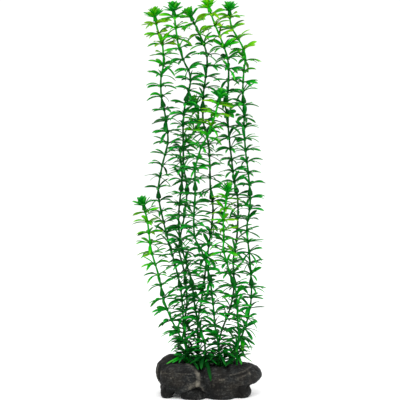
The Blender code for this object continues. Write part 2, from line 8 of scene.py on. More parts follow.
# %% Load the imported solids
import math
import random
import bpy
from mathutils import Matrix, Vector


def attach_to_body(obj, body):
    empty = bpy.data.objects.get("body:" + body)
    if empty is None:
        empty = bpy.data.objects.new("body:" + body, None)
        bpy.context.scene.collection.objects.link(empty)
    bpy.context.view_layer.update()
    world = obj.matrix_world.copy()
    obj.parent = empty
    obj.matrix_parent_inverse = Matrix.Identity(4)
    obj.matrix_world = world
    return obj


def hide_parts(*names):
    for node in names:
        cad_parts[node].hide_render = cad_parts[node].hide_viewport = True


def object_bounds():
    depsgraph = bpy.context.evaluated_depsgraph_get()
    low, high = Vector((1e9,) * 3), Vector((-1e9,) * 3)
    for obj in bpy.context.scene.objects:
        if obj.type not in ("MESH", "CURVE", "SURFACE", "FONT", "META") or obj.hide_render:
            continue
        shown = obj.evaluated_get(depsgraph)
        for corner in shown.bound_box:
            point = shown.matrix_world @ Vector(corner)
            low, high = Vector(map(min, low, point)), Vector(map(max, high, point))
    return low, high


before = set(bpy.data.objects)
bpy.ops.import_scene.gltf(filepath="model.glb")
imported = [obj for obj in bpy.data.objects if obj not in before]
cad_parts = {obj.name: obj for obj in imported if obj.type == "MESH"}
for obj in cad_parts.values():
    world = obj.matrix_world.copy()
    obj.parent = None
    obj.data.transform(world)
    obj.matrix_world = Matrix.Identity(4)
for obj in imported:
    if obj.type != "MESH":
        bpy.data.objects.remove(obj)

from types import SimpleNamespace

import bmesh
import bpy
import numpy as np
from mathutils import Matrix, Vector, noise

MM = 0.001
cad_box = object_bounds()
cad_size = (cad_box[1] - cad_box[0]) / MM
print("packed solids:", len(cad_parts), "nodes,", " x ".join(f"{side:.1f}" for side in cad_size), "mm")

# %% [markdown]
# ## Camera
# The photograph is taken from the front with a long lens, slightly above the plant's middle: the far rim of
# the rock shows just above the near one, and the strands don't lean apart towards the top. A camera 1.4 m
# away and 5 degrees up gives that view. Its lens follows from the width that one picture has to cover.

# %% Aim the camera
VIEW_CENTRE = Vector((-6.4, 0.0, 149.2)) * MM
VIEW_WIDTH = 302.5 * MM
VIEW_DISTANCE = 1400.0 * MM
VIEW_RISE = math.radians(5.0)
VIEW_REACH = 20.0
SENSOR_WIDTH = 36.0


def aim_camera():
    """Put the camera at the photograph's viewing angle."""
    data = bpy.data.cameras.new("camera")
    data.sensor_width = SENSOR_WIDTH
    data.lens = SENSOR_WIDTH * VIEW_DISTANCE / VIEW_WIDTH
    data.clip_end = VIEW_REACH
    camera = bpy.data.objects.new("camera", data)
    back = Vector((0.0, -math.cos(VIEW_RISE), math.sin(VIEW_RISE)))
    camera.location = VIEW_CENTRE + back * VIEW_DISTANCE
    camera.rotation_euler = (-back).to_track_quat("-Z", "Y").to_euler()
    bpy.context.scene.collection.objects.link(camera)
    bpy.context.scene.camera = camera
    return camera


camera = aim_camera()
print(f"lens {camera.data.lens:.0f} mm, camera {camera.location.z / MM:.0f} mm above the floor")

# %% [markdown]
# ## Floor and light
# A product photograph on white has a white sweep under and behind the object and big soft lamps, so hardly
# any shadow shows. A wide white floor under a white sky does the same from every side. One broad lamp from
# the upper left front gives the plastic its soft highlights, and a weaker one fills from the right. The
# Standard view keeps white white and the greens as strong as they are mixed.

# %% Lay the floor and hang the lamps
FLOOR_HALF = 6.0
FLOOR_GAP = 0.2 * MM
FLOOR_WHITE = (0.96, 0.96, 0.96, 1.0)
FLOOR_ROUGHNESS = 0.9
SKY_WHITE = (1.0, 1.0, 1.0, 1.0)
SKY_STRENGTH = 1.09
LAMPS = {
    "key": {"place": (-0.3, -1.35, 1.15), "size": 1.2, "power": 24.0},
    "fill": {"place": (1.1, -0.8, 0.5), "size": 1.0, "power": 9.0},
}


def add_lamp(name, place, size, power):
    """A square soft lamp that points at the middle of the plant."""
    data = bpy.data.lights.new(name, "AREA")
    data.size = size
    data.energy = power
    lamp = bpy.data.objects.new(name, data)
    lamp.location = place
    lamp.rotation_euler = (VIEW_CENTRE - lamp.location).to_track_quat("-Z", "Y").to_euler()
    bpy.context.scene.collection.objects.link(lamp)


def lay_floor():
    """A plain white floor, just under the rock."""
    bm = bmesh.new()
    bmesh.ops.create_grid(bm, x_segments=1, y_segments=1, size=FLOOR_HALF)
    bmesh.ops.translate(bm, verts=bm.verts[:], vec=(0.0, 0.0, cad_box[0].z - FLOOR_GAP))
    mesh = bpy.data.meshes.new("floor")
    bm.to_mesh(mesh)
    bm.free()
    floor = bpy.data.objects.new("floor", mesh)
    bpy.context.scene.collection.objects.link(floor)
    material = bpy.data.materials.new("white_floor")
    material.use_nodes = True
    shader = material.node_tree.nodes["Principled BSDF"]
    shader.inputs["Base Color"].default_value = FLOOR_WHITE
    shader.inputs["Roughness"].default_value = FLOOR_ROUGHNESS
    mesh.materials.append(material)


def light_sky():
    """An even white sky."""
    world = bpy.data.worlds.new("white_sky")
    world.use_nodes = True
    sky = world.node_tree.nodes["Background"]
    sky.inputs["Color"].default_value = SKY_WHITE
    sky.inputs["Strength"].default_value = SKY_STRENGTH
    bpy.context.scene.world = world


bpy.context.scene.view_settings.view_transform = "Standard"
lay_floor()
light_sky()
for lamp_name, lamp in LAMPS.items():
    add_lamp(lamp_name, lamp["place"], lamp["size"], lamp["power"])
print("floor, sky and lamps:", ", ".join(LAMPS))

# %% [markdown]
# ## Shader sums
# A material that varies over a surface is a sum of patterns. Node by node that is hard to read, so one small
# class wraps a node's output and lets Python's own signs build the sum. Adding, taking away and multiplying
# make Math nodes, step a smooth step, blend a colour Mix, and node makes any other kind.

# %% A socket that can be used in sums
class Shade:
    """One output of a material's nodes, for use in sums."""

    def __init__(self, tree, socket=None):
        self.tree = tree
        self.socket = socket

    def node(self, kind, settings=(), sockets=(), out=0):
        """Add a node: its settings first, then the values or links of its sockets."""
        made = self.tree.nodes.new(kind)
        for key, value in dict(settings).items():
            if key == "stops":
                made.color_ramp.elements.remove(made.color_ramp.elements[0])
                made.color_ramp.elements[0].position, made.color_ramp.elements[0].color = value[0]
                for place, colour in value[1:]:
                    made.color_ramp.elements.new(place).color = colour
            else:
                setattr(made, key, value)
        for key, value in dict(sockets).items():
            if isinstance(value, Shade):
                self.tree.links.new(value.socket, made.inputs[key])
            else:
                made.inputs[key].default_value = value
        return Shade(self.tree, made.outputs[out])

    def maths(self, operation, first, second):
        """One Math node on two values or sockets."""
        return self.node("ShaderNodeMath", {"operation": operation}, {0: first, 1: second})

    def __add__(self, other):
        return self.maths("ADD", self, other)

    __radd__ = __add__

    def __sub__(self, other):
        return self.maths("SUBTRACT", self, other)

    def __rsub__(self, other):
        return self.maths("SUBTRACT", other, self)

    def __mul__(self, other):
        return self.maths("MULTIPLY", self, other)

    __rmul__ = __mul__

    def step(self, low, high):
        """0 below low, 1 above high and smooth between them."""
        return self.node("ShaderNodeMapRange", {"interpolation_type": "SMOOTHSTEP"},
                         {"Value": self, "From Min": low, "From Max": high})

    def blend(self, first, second):
        """The first colour where this is 0 and the second where it is 1."""
        return self.node("ShaderNodeMix", {"data_type": "RGBA", "clamp_factor": True},
                         {0: self, 6: first, 7: second}, out=2)


def start_material(name, constants):
    """A material whose shader has these constants; returns it, its shader and a first Shade."""
    material = bpy.data.materials.new(name)
    material.use_nodes = True
    shader = material.node_tree.nodes["Principled BSDF"]
    for socket, value in constants.items():
        shader.inputs[socket].default_value = value
    return material, shader, Shade(material.node_tree)


def attach(shade, shader, socket):
    """Link a sum to one socket of the shader."""
    shade.tree.links.new(shade.socket, shader.inputs[socket])


def noise_at(start, place, scale, detail=3.0, roughness=0.55):
    """Cloudy noise from 0 to 1 with the given number of clouds to a metre."""
    return start.node("ShaderNodeTexNoise", {"noise_dimensions": "3D"},
                      {"Vector": place, "Scale": scale, "Detail": detail, "Roughness": roughness})


def read_attribute(start, name):
    """A value that is stored on the mesh's points."""
    return start.node("ShaderNodeAttribute", {"attribute_name": name}, out=2)


print("shader sums ready")

# %% [markdown]
# ## Green plastic
# The sprigs are moulded in soft, slightly waxy polyethylene. Young growth near the crowns is a bright
# yellowish green and the old growth below is a deep, slightly blue green, and on every leaf the tip is
# paler than the root, where the plastic is thick. Each blade carries how young it is, its own small
# difference of dye, how far along and across it a point lies and how much painted shade darkens it, for
# leaves deep in the bunch and down in the hollow of the rock and towards every root, and the colours are
# worked out from these five attributes. The blade has a faint midrib and fine lengthwise veins, which only
# show as bump.

# %% Mix the greens
OLD_GREEN = (0.0012, 0.113, 0.011, 1.0)
MIDDLE_GREEN = (0.0014, 0.222, 0.006, 1.0)
YOUNG_GREEN = (0.006, 0.360, 0.001, 1.0)
LIME_GREEN = (0.125, 0.380, 0.002, 1.0)
OLD_TIP = (0.024, 0.345, 0.034, 1.0)
YOUNG_TIP = (0.190, 0.440, 0.008, 1.0)
# Painted shade on the leaves darkens towards DEEP_GREEN.
DEEP_GREEN = (0.0003, 0.015, 0.0020, 1.0)
GREEN_STOPS = ((0.0, OLD_GREEN), (0.35, MIDDLE_GREEN), (0.72, YOUNG_GREEN), (1.0, LIME_GREEN))
LEAF_ATTRIBUTES = ("youth", "dye", "along", "across", "deep")
DYE_SPREAD = 0.44
CLOUD_SCALE = 900.0
CLOUD_SPREAD = 0.16
TIP_YOUTH = (0.25, 1.0)
PALE_END = (0.55, 1.0)
PALE_END_SHARE = 0.66
WAX_ROUGHNESS = 0.36
WAX_ROUGHNESS_SPREAD = 0.14
VEIN_WAVES = 22.0
MIDRIB_HALF_WIDTH = 0.22
VEIN_HEIGHT = 0.12
MIDRIB_HEIGHT = 0.9
CLOUD_HEIGHT = 0.25
LEAF_BUMP = {"Strength": 0.35, "Distance": 0.15 * MM}


def mix_green_plastic(name):
    """Semi-gloss green plastic that follows a moulding's own attributes."""
    material, shader, start = start_material(name, {
        "IOR": 1.45, "Specular IOR Level": 0.04})
    youth, dye, along, across, deep = (read_attribute(start, key) for key in LEAF_ATTRIBUTES)
    place = start.node("ShaderNodeTexCoord", out=3)
    cloud = noise_at(start, place, CLOUD_SCALE)
    youth = youth + dye * DYE_SPREAD - DYE_SPREAD / 2 + cloud * CLOUD_SPREAD - CLOUD_SPREAD / 2
    body = start.node("ShaderNodeValToRGB", {"stops": GREEN_STOPS}, {"Fac": youth})
    tip = youth.step(*TIP_YOUTH).blend(OLD_TIP, YOUNG_TIP)
    paler = along.step(*PALE_END) * PALE_END_SHARE
    colour = paler.blend(body, tip)
    # Painted shade: a high deep attribute darkens towards DEEP_GREEN; leaves get it from shade in the bunch
    # and at their roots, stems and bells by set amounts.
    colour = deep.blend(colour, DEEP_GREEN)
    attach(colour, shader, "Base Color")
    attach(WAX_ROUGHNESS + cloud * WAX_ROUGHNESS_SPREAD, shader, "Roughness")
    veins = start.node("ShaderNodeMath", {"operation": "SINE"}, {0: across * VEIN_WAVES})
    off_middle = start.node("ShaderNodeMath", {"operation": "ABSOLUTE"}, {0: across})
    midrib = 1.0 - off_middle.step(0.0, MIDRIB_HALF_WIDTH)
    relief = veins * VEIN_HEIGHT + midrib * MIDRIB_HEIGHT + cloud * CLOUD_HEIGHT
    bump = start.node("ShaderNodeBump", {}, {**LEAF_BUMP, "Height": relief})
    attach(bump, shader, "Normal")
    return material


greens = {name: mix_green_plastic(name + "_green") for name in ("crown", "upper", "lower")}
print("green plastics:", ", ".join(greens))

# %% [markdown]
# ## Where the strands run
# Each strand follows its own wavy line from its crown down to its foot in the rock. These are the rows that
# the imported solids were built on, in millimetres: height, then sideways, then depth. With them go the
# heights of the joints, the crown's first, and the number of whorls on the lowest sprig.

# %% The nine routes
STRANDS = {
    "tall_1": {
        "route": ((285, -40, 6), (276, -38, 6.5), (268, -35, 7), (252, -34, 7.5), (240, -36, 8),
                  (226, -35.5, 8), (217, -33.5, 8.5), (200, -31, 9), (191.5, -31, 9), (175, -35, 9.5),
                  (158, -38, 10), (147.5, -37.5, 10), (131, -34, 9), (115, -30, 8.5), (97.5, -25, 8),
                  (79.5, -21, 6), (63, -19.5, 4.5), (48, -18.5, 2.5), (32, -16.5, 0)),
        "rims": (283.8, 219, 149.5, 81.5), "foot_whorls": 7},
    "tall_2": {
        "route": ((283.5, -25, -11), (268.5, -23, -10.5), (261, -21, -10), (253, -18, -9.5),
                  (246, -14.5, -9), (239, -13.5, -9), (231.5, -15, -8.5), (222, -17.5, -8), (208, -19, -7),
                  (191, -19, -6), (174, -19, -5), (154.5, -21, -4), (137, -22.5, -5), (120, -21.5, -6),
                  (104, -17.5, -7), (91, -13.5, -7.5), (76, -11, -8), (67, -10, -8.5), (50, -5.5, -9),
                  (42.5, -3, -10), (32, -2.5, -11.5)),
        "rims": (288, 224, 156.5, 85.5), "foot_whorls": 7},
    "tall_3": {
        "route": ((284.5, -11.9, 5.5), (275.5, -7.5, 5), (268, -4, 5), (259.5, -1.5, 4.5),
                  (251.5, -1, 4), (243, -2, 4), (227, -4, 3), (209, -4, 3), (191.5, 0, 2.5), (175, 1, 2),
                  (158, 1.5, 2), (147.5, 3, 2), (139, 3.5, 3), (122, 1.5, 4), (105, -1, 5), (88.5, -3, 6),
                  (70.5, -5.5, 8), (54.5, -8, 8.5), (30, -8, 6)),
        "rims": (284, 218, 149.5, 80.5), "foot_whorls": 7},
    "tall_4": {
        "route": ((290, 1.5, -9), (280.5, 5, -8), (272.5, 8.5, -7.5), (257, 14, -6), (249, 15, -5),
                  (241, 15, -4.5), (232, 14.5, -4), (221.5, 12.5, -2.5), (214, 14, -1.5), (197, 15.5, 1.5),
                  (180, 17.5, 4), (163, 19.5, 7), (152, 22, 8.5), (135, 22.5, 9), (118, 21.5, 9),
                  (102, 19, 9), (81.5, 19.5, 8.5), (65, 16.5, 8), (49, 10.5, 7.5), (41.5, 8.5, 7.5),
                  (32, 8, 7)),
        "rims": (290.5, 223.5, 154, 83.5), "foot_whorls": 7},
    "tall_5": {
        "route": ((291, 15.9, 7.5), (285, 16.3, 8), (278.5, 17.8, 8), (271.5, 22, 8), (264, 26, 8.5),
                  (256.5, 28, 9), (248.5, 27, 9), (231, 26, 10), (220, 27, 9), (203.5, 27, 5),
                  (186.5, 28, 1.5), (170, 30, -2.5), (151, 31.5, -6.5), (143.5, 31, -7),
                  (128.5, 29, -6.5), (111.5, 30.5, -6), (94.5, 32, -5), (75, 32.5, -1.5),
                  (57, 29.5, 1.5), (41, 24, 3.5), (28.5, 18, 5)),
        "rims": (288.3, 222, 153, 85), "foot_whorls": 7},
    "middle_1": {
        "route": ((221, -10, 18.5), (217, -8.5, 18.5), (210, -7.5, 19), (203, -9, 20), (196, -14, 20.5),
                  (189, -20, 20.5), (181.5, -21.5, 21), (173, -20, 21.5), (163.5, -17, 22),
                  (151.5, -16.5, 23), (134.5, -18.5, 23.5), (116.5, -22, 23.5), (108, -22.5, 24),
                  (91, -18.5, 23), (69.5, -16.5, 20.5), (54.5, -18, 17.5), (39.5, -17.5, 12), (31, -17, 9)),
        "rims": (217.3, 153.5, 82), "foot_whorls": 7},
    "middle_2": {
        "route": ((222.5, 7, -19.5), (213.5, 4.5, -20), (205.5, 1.5, -20.5), (199, -0.5, -21),
                  (191.5, -5, -21), (182.5, -8, -21.5), (174, -10, -21.5), (156, -10, -22),
                  (138.5, -11, -21.5), (129.5, -11, -21), (122, -10, -20.5), (114.5, -6, -20),
                  (107, -3, -19.5), (100, -1, -19), (88, 1.5, -17), (71.5, 3.5, -14.5), (54.5, 5, -11.5),
                  (34, 8, -7.5)),
        "rims": (224, 158, 90), "foot_whorls": 8},
    "short_1": {
        "route": ((144.5, -48.5, -8), (134, -46, -7.5), (117.5, -44, -7.5), (109, -42.5, -7),
                  (94, -38, -7.5), (85, -36, -8), (75, -34, -9), (59.5, -28, -10), (44, -20, -9.5),
                  (35, -16, -9)),
        "rims": (142.6, 77), "foot_whorls": 6},
    "short_2": {
        "route": ((157, 14.3, -17), (146, 12.6, -17.5), (137.5, 11, -17.5), (121.5, 11.5, -17.5),
                  (114, 11, -17.5), (104.5, 13.5, -17), (97, 15.5, -16.5), (85.5, 19.5, -15),
                  (78.5, 21, -14), (60.5, 22, -12), (44, 23, -9), (35.5, 21.5, -7.5), (31, 21.5, -7)),
        "rims": (153.5, 87.5), "foot_whorls": 7},
}
FRAME_STEP = 0.5 * MM


def route_slope(route, index):
    """Sideways change per millimetre of height at one row of a route; upright at the foot."""
    if index == len(route) - 1:
        return Vector((0.0, 0.0))
    above = route[max(index - 1, 0)]
    below = route[index + 1]
    return Vector((above[1] - below[1], above[2] - below[2])) / (above[0] - below[0])


def route_point(route, height):
    """Point of a strand's centre line at a height in metres, from a smooth curve through its rows."""
    z = height / MM
    if z <= route[-1][0]:
        side = Vector(route[-1][1:])
    elif z >= route[0][0]:
        side = Vector(route[0][1:]) + route_slope(route, 0) * (z - route[0][0])
    else:
        index = next(i for i in range(len(route) - 1) if z >= route[i + 1][0])
        low, high = route[index + 1], route[index]
        span = high[0] - low[0]
        t = (z - low[0]) / span
        side = (Vector(low[1:]) * (2 * t ** 3 - 3 * t ** 2 + 1)
                + route_slope(route, index + 1) * span * (t ** 3 - 2 * t ** 2 + t)
                + Vector(high[1:]) * (3 * t ** 2 - 2 * t ** 3)
                + route_slope(route, index) * span * (t ** 3 - t ** 2))
    return Vector((side.x * MM, side.y * MM, height))


def route_frame(route, height):
    """Centre, two sideways directions and the upward direction of a strand at a height."""
    along = (route_point(route, height + FRAME_STEP) - route_point(route, height - FRAME_STEP)).normalized()
    across = (Vector((1.0, 0.0, 0.0)) - along * along.x).normalized()
    return route_point(route, height), across, along.cross(across), along


def outward(place, turn):
    """Direction square to a strand at an angle in degrees round it."""
    angle = math.radians(turn)
    return place[1] * math.cos(angle) + place[2] * math.sin(angle)


print("strands:", ", ".join(STRANDS))

# %% [markdown]
# ## Lobes of the rock
# The rock is modelled as lobes, like pressed balls of clay, that are fused together later on. They are
# stated here already because the leaves are turned aside where they would reach into them.

# %% The lobes: centre and half sizes (across, deep, high) in mm, and tilt in degrees
LOBES = {
    "floor": (2, 1, 7, 29, 19.5, 9.5, 0),
    "left_shoulder": (-27, 0, 17.6, 12.8, 17, 13.6, -8),
    "left_shoulder_back": (-22, 12, 15, 13, 11, 13, 0),
    "left_face": (-21.5, -15.8, 15.5, 14.8, 6.7, 11.5, 0),
    "left_foot": (-31.4, -9, 4.6, 5.6, 8, 6.4, 20),
    "left_foot_back": (-31, 12, 4.2, 5.8, 8, 6, 12),
    "front_left_rim": (-14, -15.6, 17, 9, 6, 8.6, 12),
    "front_middle_rim": (3, -15.2, 16, 11, 5.5, 9.3, -8),
    "front_right_rim": (20, -13.6, 16.6, 11.5, 6.5, 9.2, 4),
    "back_left_rim": (-12, 18, 15, 11, 6, 11.5, 0),
    "back_middle_rim": (4, 19, 14, 13, 5.5, 12, 5),
    "back_right_rim": (20, 15, 14.5, 12, 8, 10.6, 0),
    "right_nose": (28.6, -1, 16.6, 12.2, 14, 8.5, 4),
    "right_foot": (24, -5, 3.8, 8.4, 11, 6.5, 0),
    "right_foot_back": (20, 12, 4, 11, 8, 6, 0),
    "right_face": (10.5, -14.3, 13.6, 20.5, 8, 11, 0),
    "middle_boulder": (-11.5, -14, 2, 9.5, 7.5, 5.8, 0),
    "right_boulder": (9, -12, 4, 12, 10, 8, 6),
    "ridge_stem": (-8.6, -18.6, 16.5, 2.4, 2.5, 7.5, -14),
    "ridge_left": (-16, -19, 9.5, 7.5, 2.8, 2.4, -38),
    "ridge_right": (-4.5, -17.6, 9.5, 5, 2.8, 2.4, 48),
    "left_log_end": (-36.6, -5, 18.6, 3.8, 8.5, 8.5, 0),
}
LOBE_TOP = max(lobe[2] + lobe[5] for lobe in LOBES.values()) * MM


def lobe_axes(tilt):
    """Sideways and upward axes of a lobe tilted about the front-to-back axis."""
    angle = math.radians(tilt)
    return (Vector((math.cos(angle), 0.0, -math.sin(angle))), Vector((math.sin(angle), 0.0, math.cos(angle))))


def near_rock(point, room):
    """True where a point lies in a lobe of the rock grown by the given room."""
    if point.z > LOBE_TOP + room:
        return False
    for x, y, z, wide, deep, high, tilt in LOBES.values():
        sideways, upwards = lobe_axes(tilt)
        offset = point - Vector((x, y, z)) * MM
        share = ((offset.dot(sideways) / (wide * MM + room)) ** 2 + (offset.y / (deep * MM + room)) ** 2
                 + (offset.dot(upwards) / (high * MM + room)) ** 2)
        if share < 1.0:
            return True
    return False


print(f"{len(LOBES)} lobes, up to {LOBE_TOP / MM:.0f} mm high")

# %% [markdown]
# ## Laying out the leaves
# A whorl carries five leaves round the stem. Each leaf rises a little and droops at its tip, no two alike,
# and where it would run into a neighbour it is turned or tilted aside, as soft leaves push each other away.
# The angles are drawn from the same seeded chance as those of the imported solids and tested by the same
# rule, so every fine leaf ends exactly where its solid does.

# %% Sizes of leaves and joints
BAND_STEP = 60.0
SPRIG_WHORLS = 8
FIRST_WHORL_DROP = 2.0 * MM
LAST_WHORL_RISE = 7.9 * MM
FOOT_WHORL_PITCH = 8.1 * MM
LEAF_STEP = 72.0
WHORL_LEAVES = 5
WHORL_TURN = 39.0
WHORL_TURN_SPREAD = 9.0
LEAF_REACH = 11.7 * MM
LEAF_REACH_SPREAD = 0.8 * MM
LEAF_HALF_WIDTH = 1.25 * MM
LEAF_MIDDLE = 0.55
LEAF_RISE = 17.0
LEAF_RISE_SPREAD = 13.0
LEAF_DROOP = 12.0
LEAF_DROOP_SPREAD = 8.0
LEAF_TURN_SPREAD = 7.0
LEAF_ROLL = 45.0
UPRIGHT_SHARE = 0.14
UPRIGHT_RISE = 56.0
HANGING_SHARE = 0.08
HANGING_RISE = -22.0
UNDER_BELL_RISE = 11.0
COLLAR_HEIGHT = 2.4 * MM
CROWN_BAND = 0.8 * MM
CROWN_RINGS = ((8.6 * MM, 25.0), (7.8 * MM, 67.0))
CROWN_RING_LEAVES = 6
CROWN_REACH_SPREAD = 0.5 * MM
CROWN_RISE_SPREAD = 7.0
CROWN_DROOP = 4.0
CROWN_HALF_WIDTH = 1.35 * MM
BELL_HEIGHT = 5.5 * MM
PEG_BOTTOM = 9.0 * MM
GAP = 0.3 * MM
ROCK_ROOM = 1.3 * MM
STEM_ROOM = 1.0 * MM
BELL_ROOM = 2.8 * MM
ARCH_SAMPLES = ((0.14, 0.9 * MM), (0.30, 1.1 * MM), (0.45, 1.3 * MM), (0.60, 1.3 * MM), (0.80, 1.1 * MM),
                (1.00, 0.7 * MM))
CHORD_SAMPLES = ((0.20, 0.9 * MM), (0.35, 0.8 * MM), (0.50, 0.7 * MM), (0.65, 0.6 * MM))
EDGE_SAMPLES = ((0.50, 0.4 * MM), (0.75, 0.4 * MM), (1.00, 0.4 * MM))
STEM_SAMPLE = 2.0 * MM
NEARBY = 20.0 * MM
STEM_MARK = -1
CROWN_SEED = 100
SPRIG_SEED = 500
LEAF_TRIES = (
    (0, 0, 1.0), (9, 0, 1.0), (-9, 0, 1.0), (0, 14, 1.0), (0, -14, 1.0), (10, 12, 0.95), (-10, 12, 0.95),
    (10, -12, 0.95), (-10, -12, 0.95), (0, 28, 0.95), (0, -28, 0.9), (14, 26, 0.95), (-14, 26, 0.95),
    (0, 44, 0.9), (14, 12, 0.85), (-14, 12, 0.85), (0, 0, 0.8), (0, 22, 0.75), (0, -22, 0.75), (0, 60, 0.8),
    (0, 34, 0.65), (0, -34, 0.6), (0, 8, 0.45), (0, -8, 0.35),
)

# %% Leaves and the room they take
class Leaf:
    """One leaf: where it roots, its arched middle, its tip and the way its blade faces."""

    def __init__(self, place, turn, rise, droop, reach, half_width, roll, hand):
        out = outward(place, turn)
        climb = math.radians(rise)
        chord = math.radians(rise - droop)
        half = reach * LEAF_MIDDLE
        normal = place[3] * math.cos(climb) - out * math.sin(climb)
        self.half_width = half_width
        self.roll = math.radians(roll)
        self.side = outward(place, turn + 90.0) * hand
        self.start = place[0]
        self.middle = place[0] + (out * math.cos(climb) + place[3] * math.sin(climb)) * half
        self.tip = place[0] + (out * math.cos(chord) + place[3] * math.sin(chord)) * reach
        flat = self.side * math.cos(self.roll) + normal * math.sin(self.roll)
        self.edge = self.middle + flat * half_width

    def samples(self):
        """Points along the leaf with the half width there, as rows of x, y, z and width."""
        rows = []
        for share, width in ARCH_SAMPLES:
            if share <= LEAF_MIDDLE:
                point = self.start.lerp(self.middle, share / LEAF_MIDDLE)
            else:
                point = self.middle.lerp(self.tip, (share - LEAF_MIDDLE) / (1.0 - LEAF_MIDDLE))
            rows.append((*point, width))
        for share, width in CHORD_SAMPLES:
            rows.append((*self.start.lerp(self.tip, share), width))
        for share, width in EDGE_SAMPLES:
            rows.append((*self.start.lerp(self.edge, share), width))
            rows.append((*self.tip.lerp(self.edge, share), width))
        return np.array(rows)


class Room:
    """The space that stems and leaves take up, as balls that each belong to a strand and a whorl."""

    def __init__(self):
        self.balls = np.zeros((0, 4))
        self.strand = np.zeros(0, dtype=int)
        self.whorl = np.zeros(0, dtype=int)

    def add(self, balls, strand, whorl):
        """Take up room for a whorl, or for a stem where the whorl is STEM_MARK."""
        self.balls = np.vstack((self.balls, balls))
        self.strand = np.append(self.strand, np.full(len(balls), strand))
        self.whorl = np.append(self.whorl, np.full(len(balls), whorl))

    def fits(self, balls, strand, whorl, rock_room):
        """True where a leaf keeps its gap to the rock and to all but its own whorl and stem."""
        if any(near_rock(Vector(ball[:3]), rock_room + ball[3]) for ball in balls):
            return False
        other = (self.whorl != whorl) & ~((self.whorl == STEM_MARK) & (self.strand == strand))
        other &= np.abs(self.balls[:, 2] - balls[0, 2]) < NEARBY
        balls_there = self.balls[other]
        apart = np.linalg.norm(balls_there[None, :, :3] - balls[:, None, :3], axis=2)
        return bool(np.all(apart > balls_there[None, :, 3] + balls[:, None, 3] + GAP))


# %% Draw every leaf
def whorl_heights(strand, sprig):
    """Heights of a sprig's whorls, from the top one down."""
    rims = [rim * MM for rim in strand["rims"]]
    first = rims[sprig] - FIRST_WHORL_DROP
    if sprig == len(rims) - 1:
        return [first - FOOT_WHORL_PITCH * k for k in range(strand["foot_whorls"])]
    last = rims[sprig + 1] + LAST_WHORL_RISE
    return [first + (last - first) * k / (SPRIG_WHORLS - 1) for k in range(SPRIG_WHORLS)]


def draw_rise(chance, under_bell):
    """Angle at which a leaf leaves its stem: most rise a little, a few stand up or hang."""
    kind = chance.random()
    rise = LEAF_RISE + chance.uniform(-LEAF_RISE_SPREAD, LEAF_RISE_SPREAD)
    if under_bell:
        return min(rise, UNDER_BELL_RISE)
    if kind < UPRIGHT_SHARE:
        return UPRIGHT_RISE
    if kind > 1.0 - HANGING_SHARE:
        return HANGING_RISE
    return rise


def place_leaf(room, place, whorl, strand, drawn, rock_room=ROCK_ROOM, slimness=1.0):
    """The first of the tries that keeps clear of its neighbours, or None."""
    turn, rise, droop, reach, roll, hand = drawn
    for turn_by, rise_by, reach_share in LEAF_TRIES:
        leaf = Leaf(place, turn + turn_by, rise + rise_by, droop, reach * reach_share, LEAF_HALF_WIDTH,
                    roll, hand)
        balls = leaf.samples() * (1.0, 1.0, 1.0, slimness)
        if room.fits(balls, strand, whorl, rock_room):
            room.add(balls, strand, whorl)
            return leaf
    return None


def lay_out_crown(room, strand, number, mark):
    """The rings of leaves of one crown, and the turns of the strand's joints."""
    chance = random.Random(CROWN_SEED + number)
    joint_turns = [chance.uniform(0.0, 360.0) for _ in strand["rims"]]
    base = strand["rims"][0] * MM + COLLAR_HEIGHT
    rings = []
    for level, (reach, rise) in enumerate(CROWN_RINGS):
        place = route_frame(strand["route"], base + CROWN_BAND * (level + 0.5))
        leaves = []
        for step in range(CROWN_RING_LEAVES):
            turn = joint_turns[0] + BAND_STEP * (level + 1 + step)
            own_rise = rise + chance.uniform(-CROWN_RISE_SPREAD, CROWN_RISE_SPREAD)
            own_reach = reach + chance.uniform(-CROWN_REACH_SPREAD, CROWN_REACH_SPREAD)
            leaf = Leaf(place, turn, own_rise, CROWN_DROOP, own_reach, CROWN_HALF_WIDTH, 0.0, 1.0)
            room.add(leaf.samples(), number, mark)
            leaves.append(leaf)
        rings.append(leaves)
    return rings, joint_turns


def lay_out_sprig(room, strand, number, sprig, first_turn, mark, chance):
    """The whorls of one sprig, from the top one down."""
    turn = first_turn
    whorls = []
    for k, height in enumerate(whorl_heights(strand, sprig)):
        if k:
            turn += WHORL_TURN + chance.uniform(-WHORL_TURN_SPREAD, WHORL_TURN_SPREAD)
        place = route_frame(strand["route"], height)
        leaves = []
        for step in range(WHORL_LEAVES):
            own_turn = turn + LEAF_STEP * step + chance.uniform(-LEAF_TURN_SPREAD, LEAF_TURN_SPREAD)
            rise = draw_rise(chance, k == 0)
            droop = LEAF_DROOP + chance.uniform(-LEAF_DROOP_SPREAD, LEAF_DROOP_SPREAD)
            reach = LEAF_REACH + chance.uniform(-LEAF_REACH_SPREAD, LEAF_REACH_SPREAD)
            roll = chance.uniform(-LEAF_ROLL, LEAF_ROLL)
            hand = chance.choice((-1.0, 1.0))
            drawn = (own_turn, rise, droop, reach, roll, hand)
            leaves.append(place_leaf(room, place, mark + k, number, drawn))
        whorls.append({"height": height, "turn": turn, "mark": mark + k,
                       "leaves": [leaf for leaf in leaves if leaf]})
    return whorls


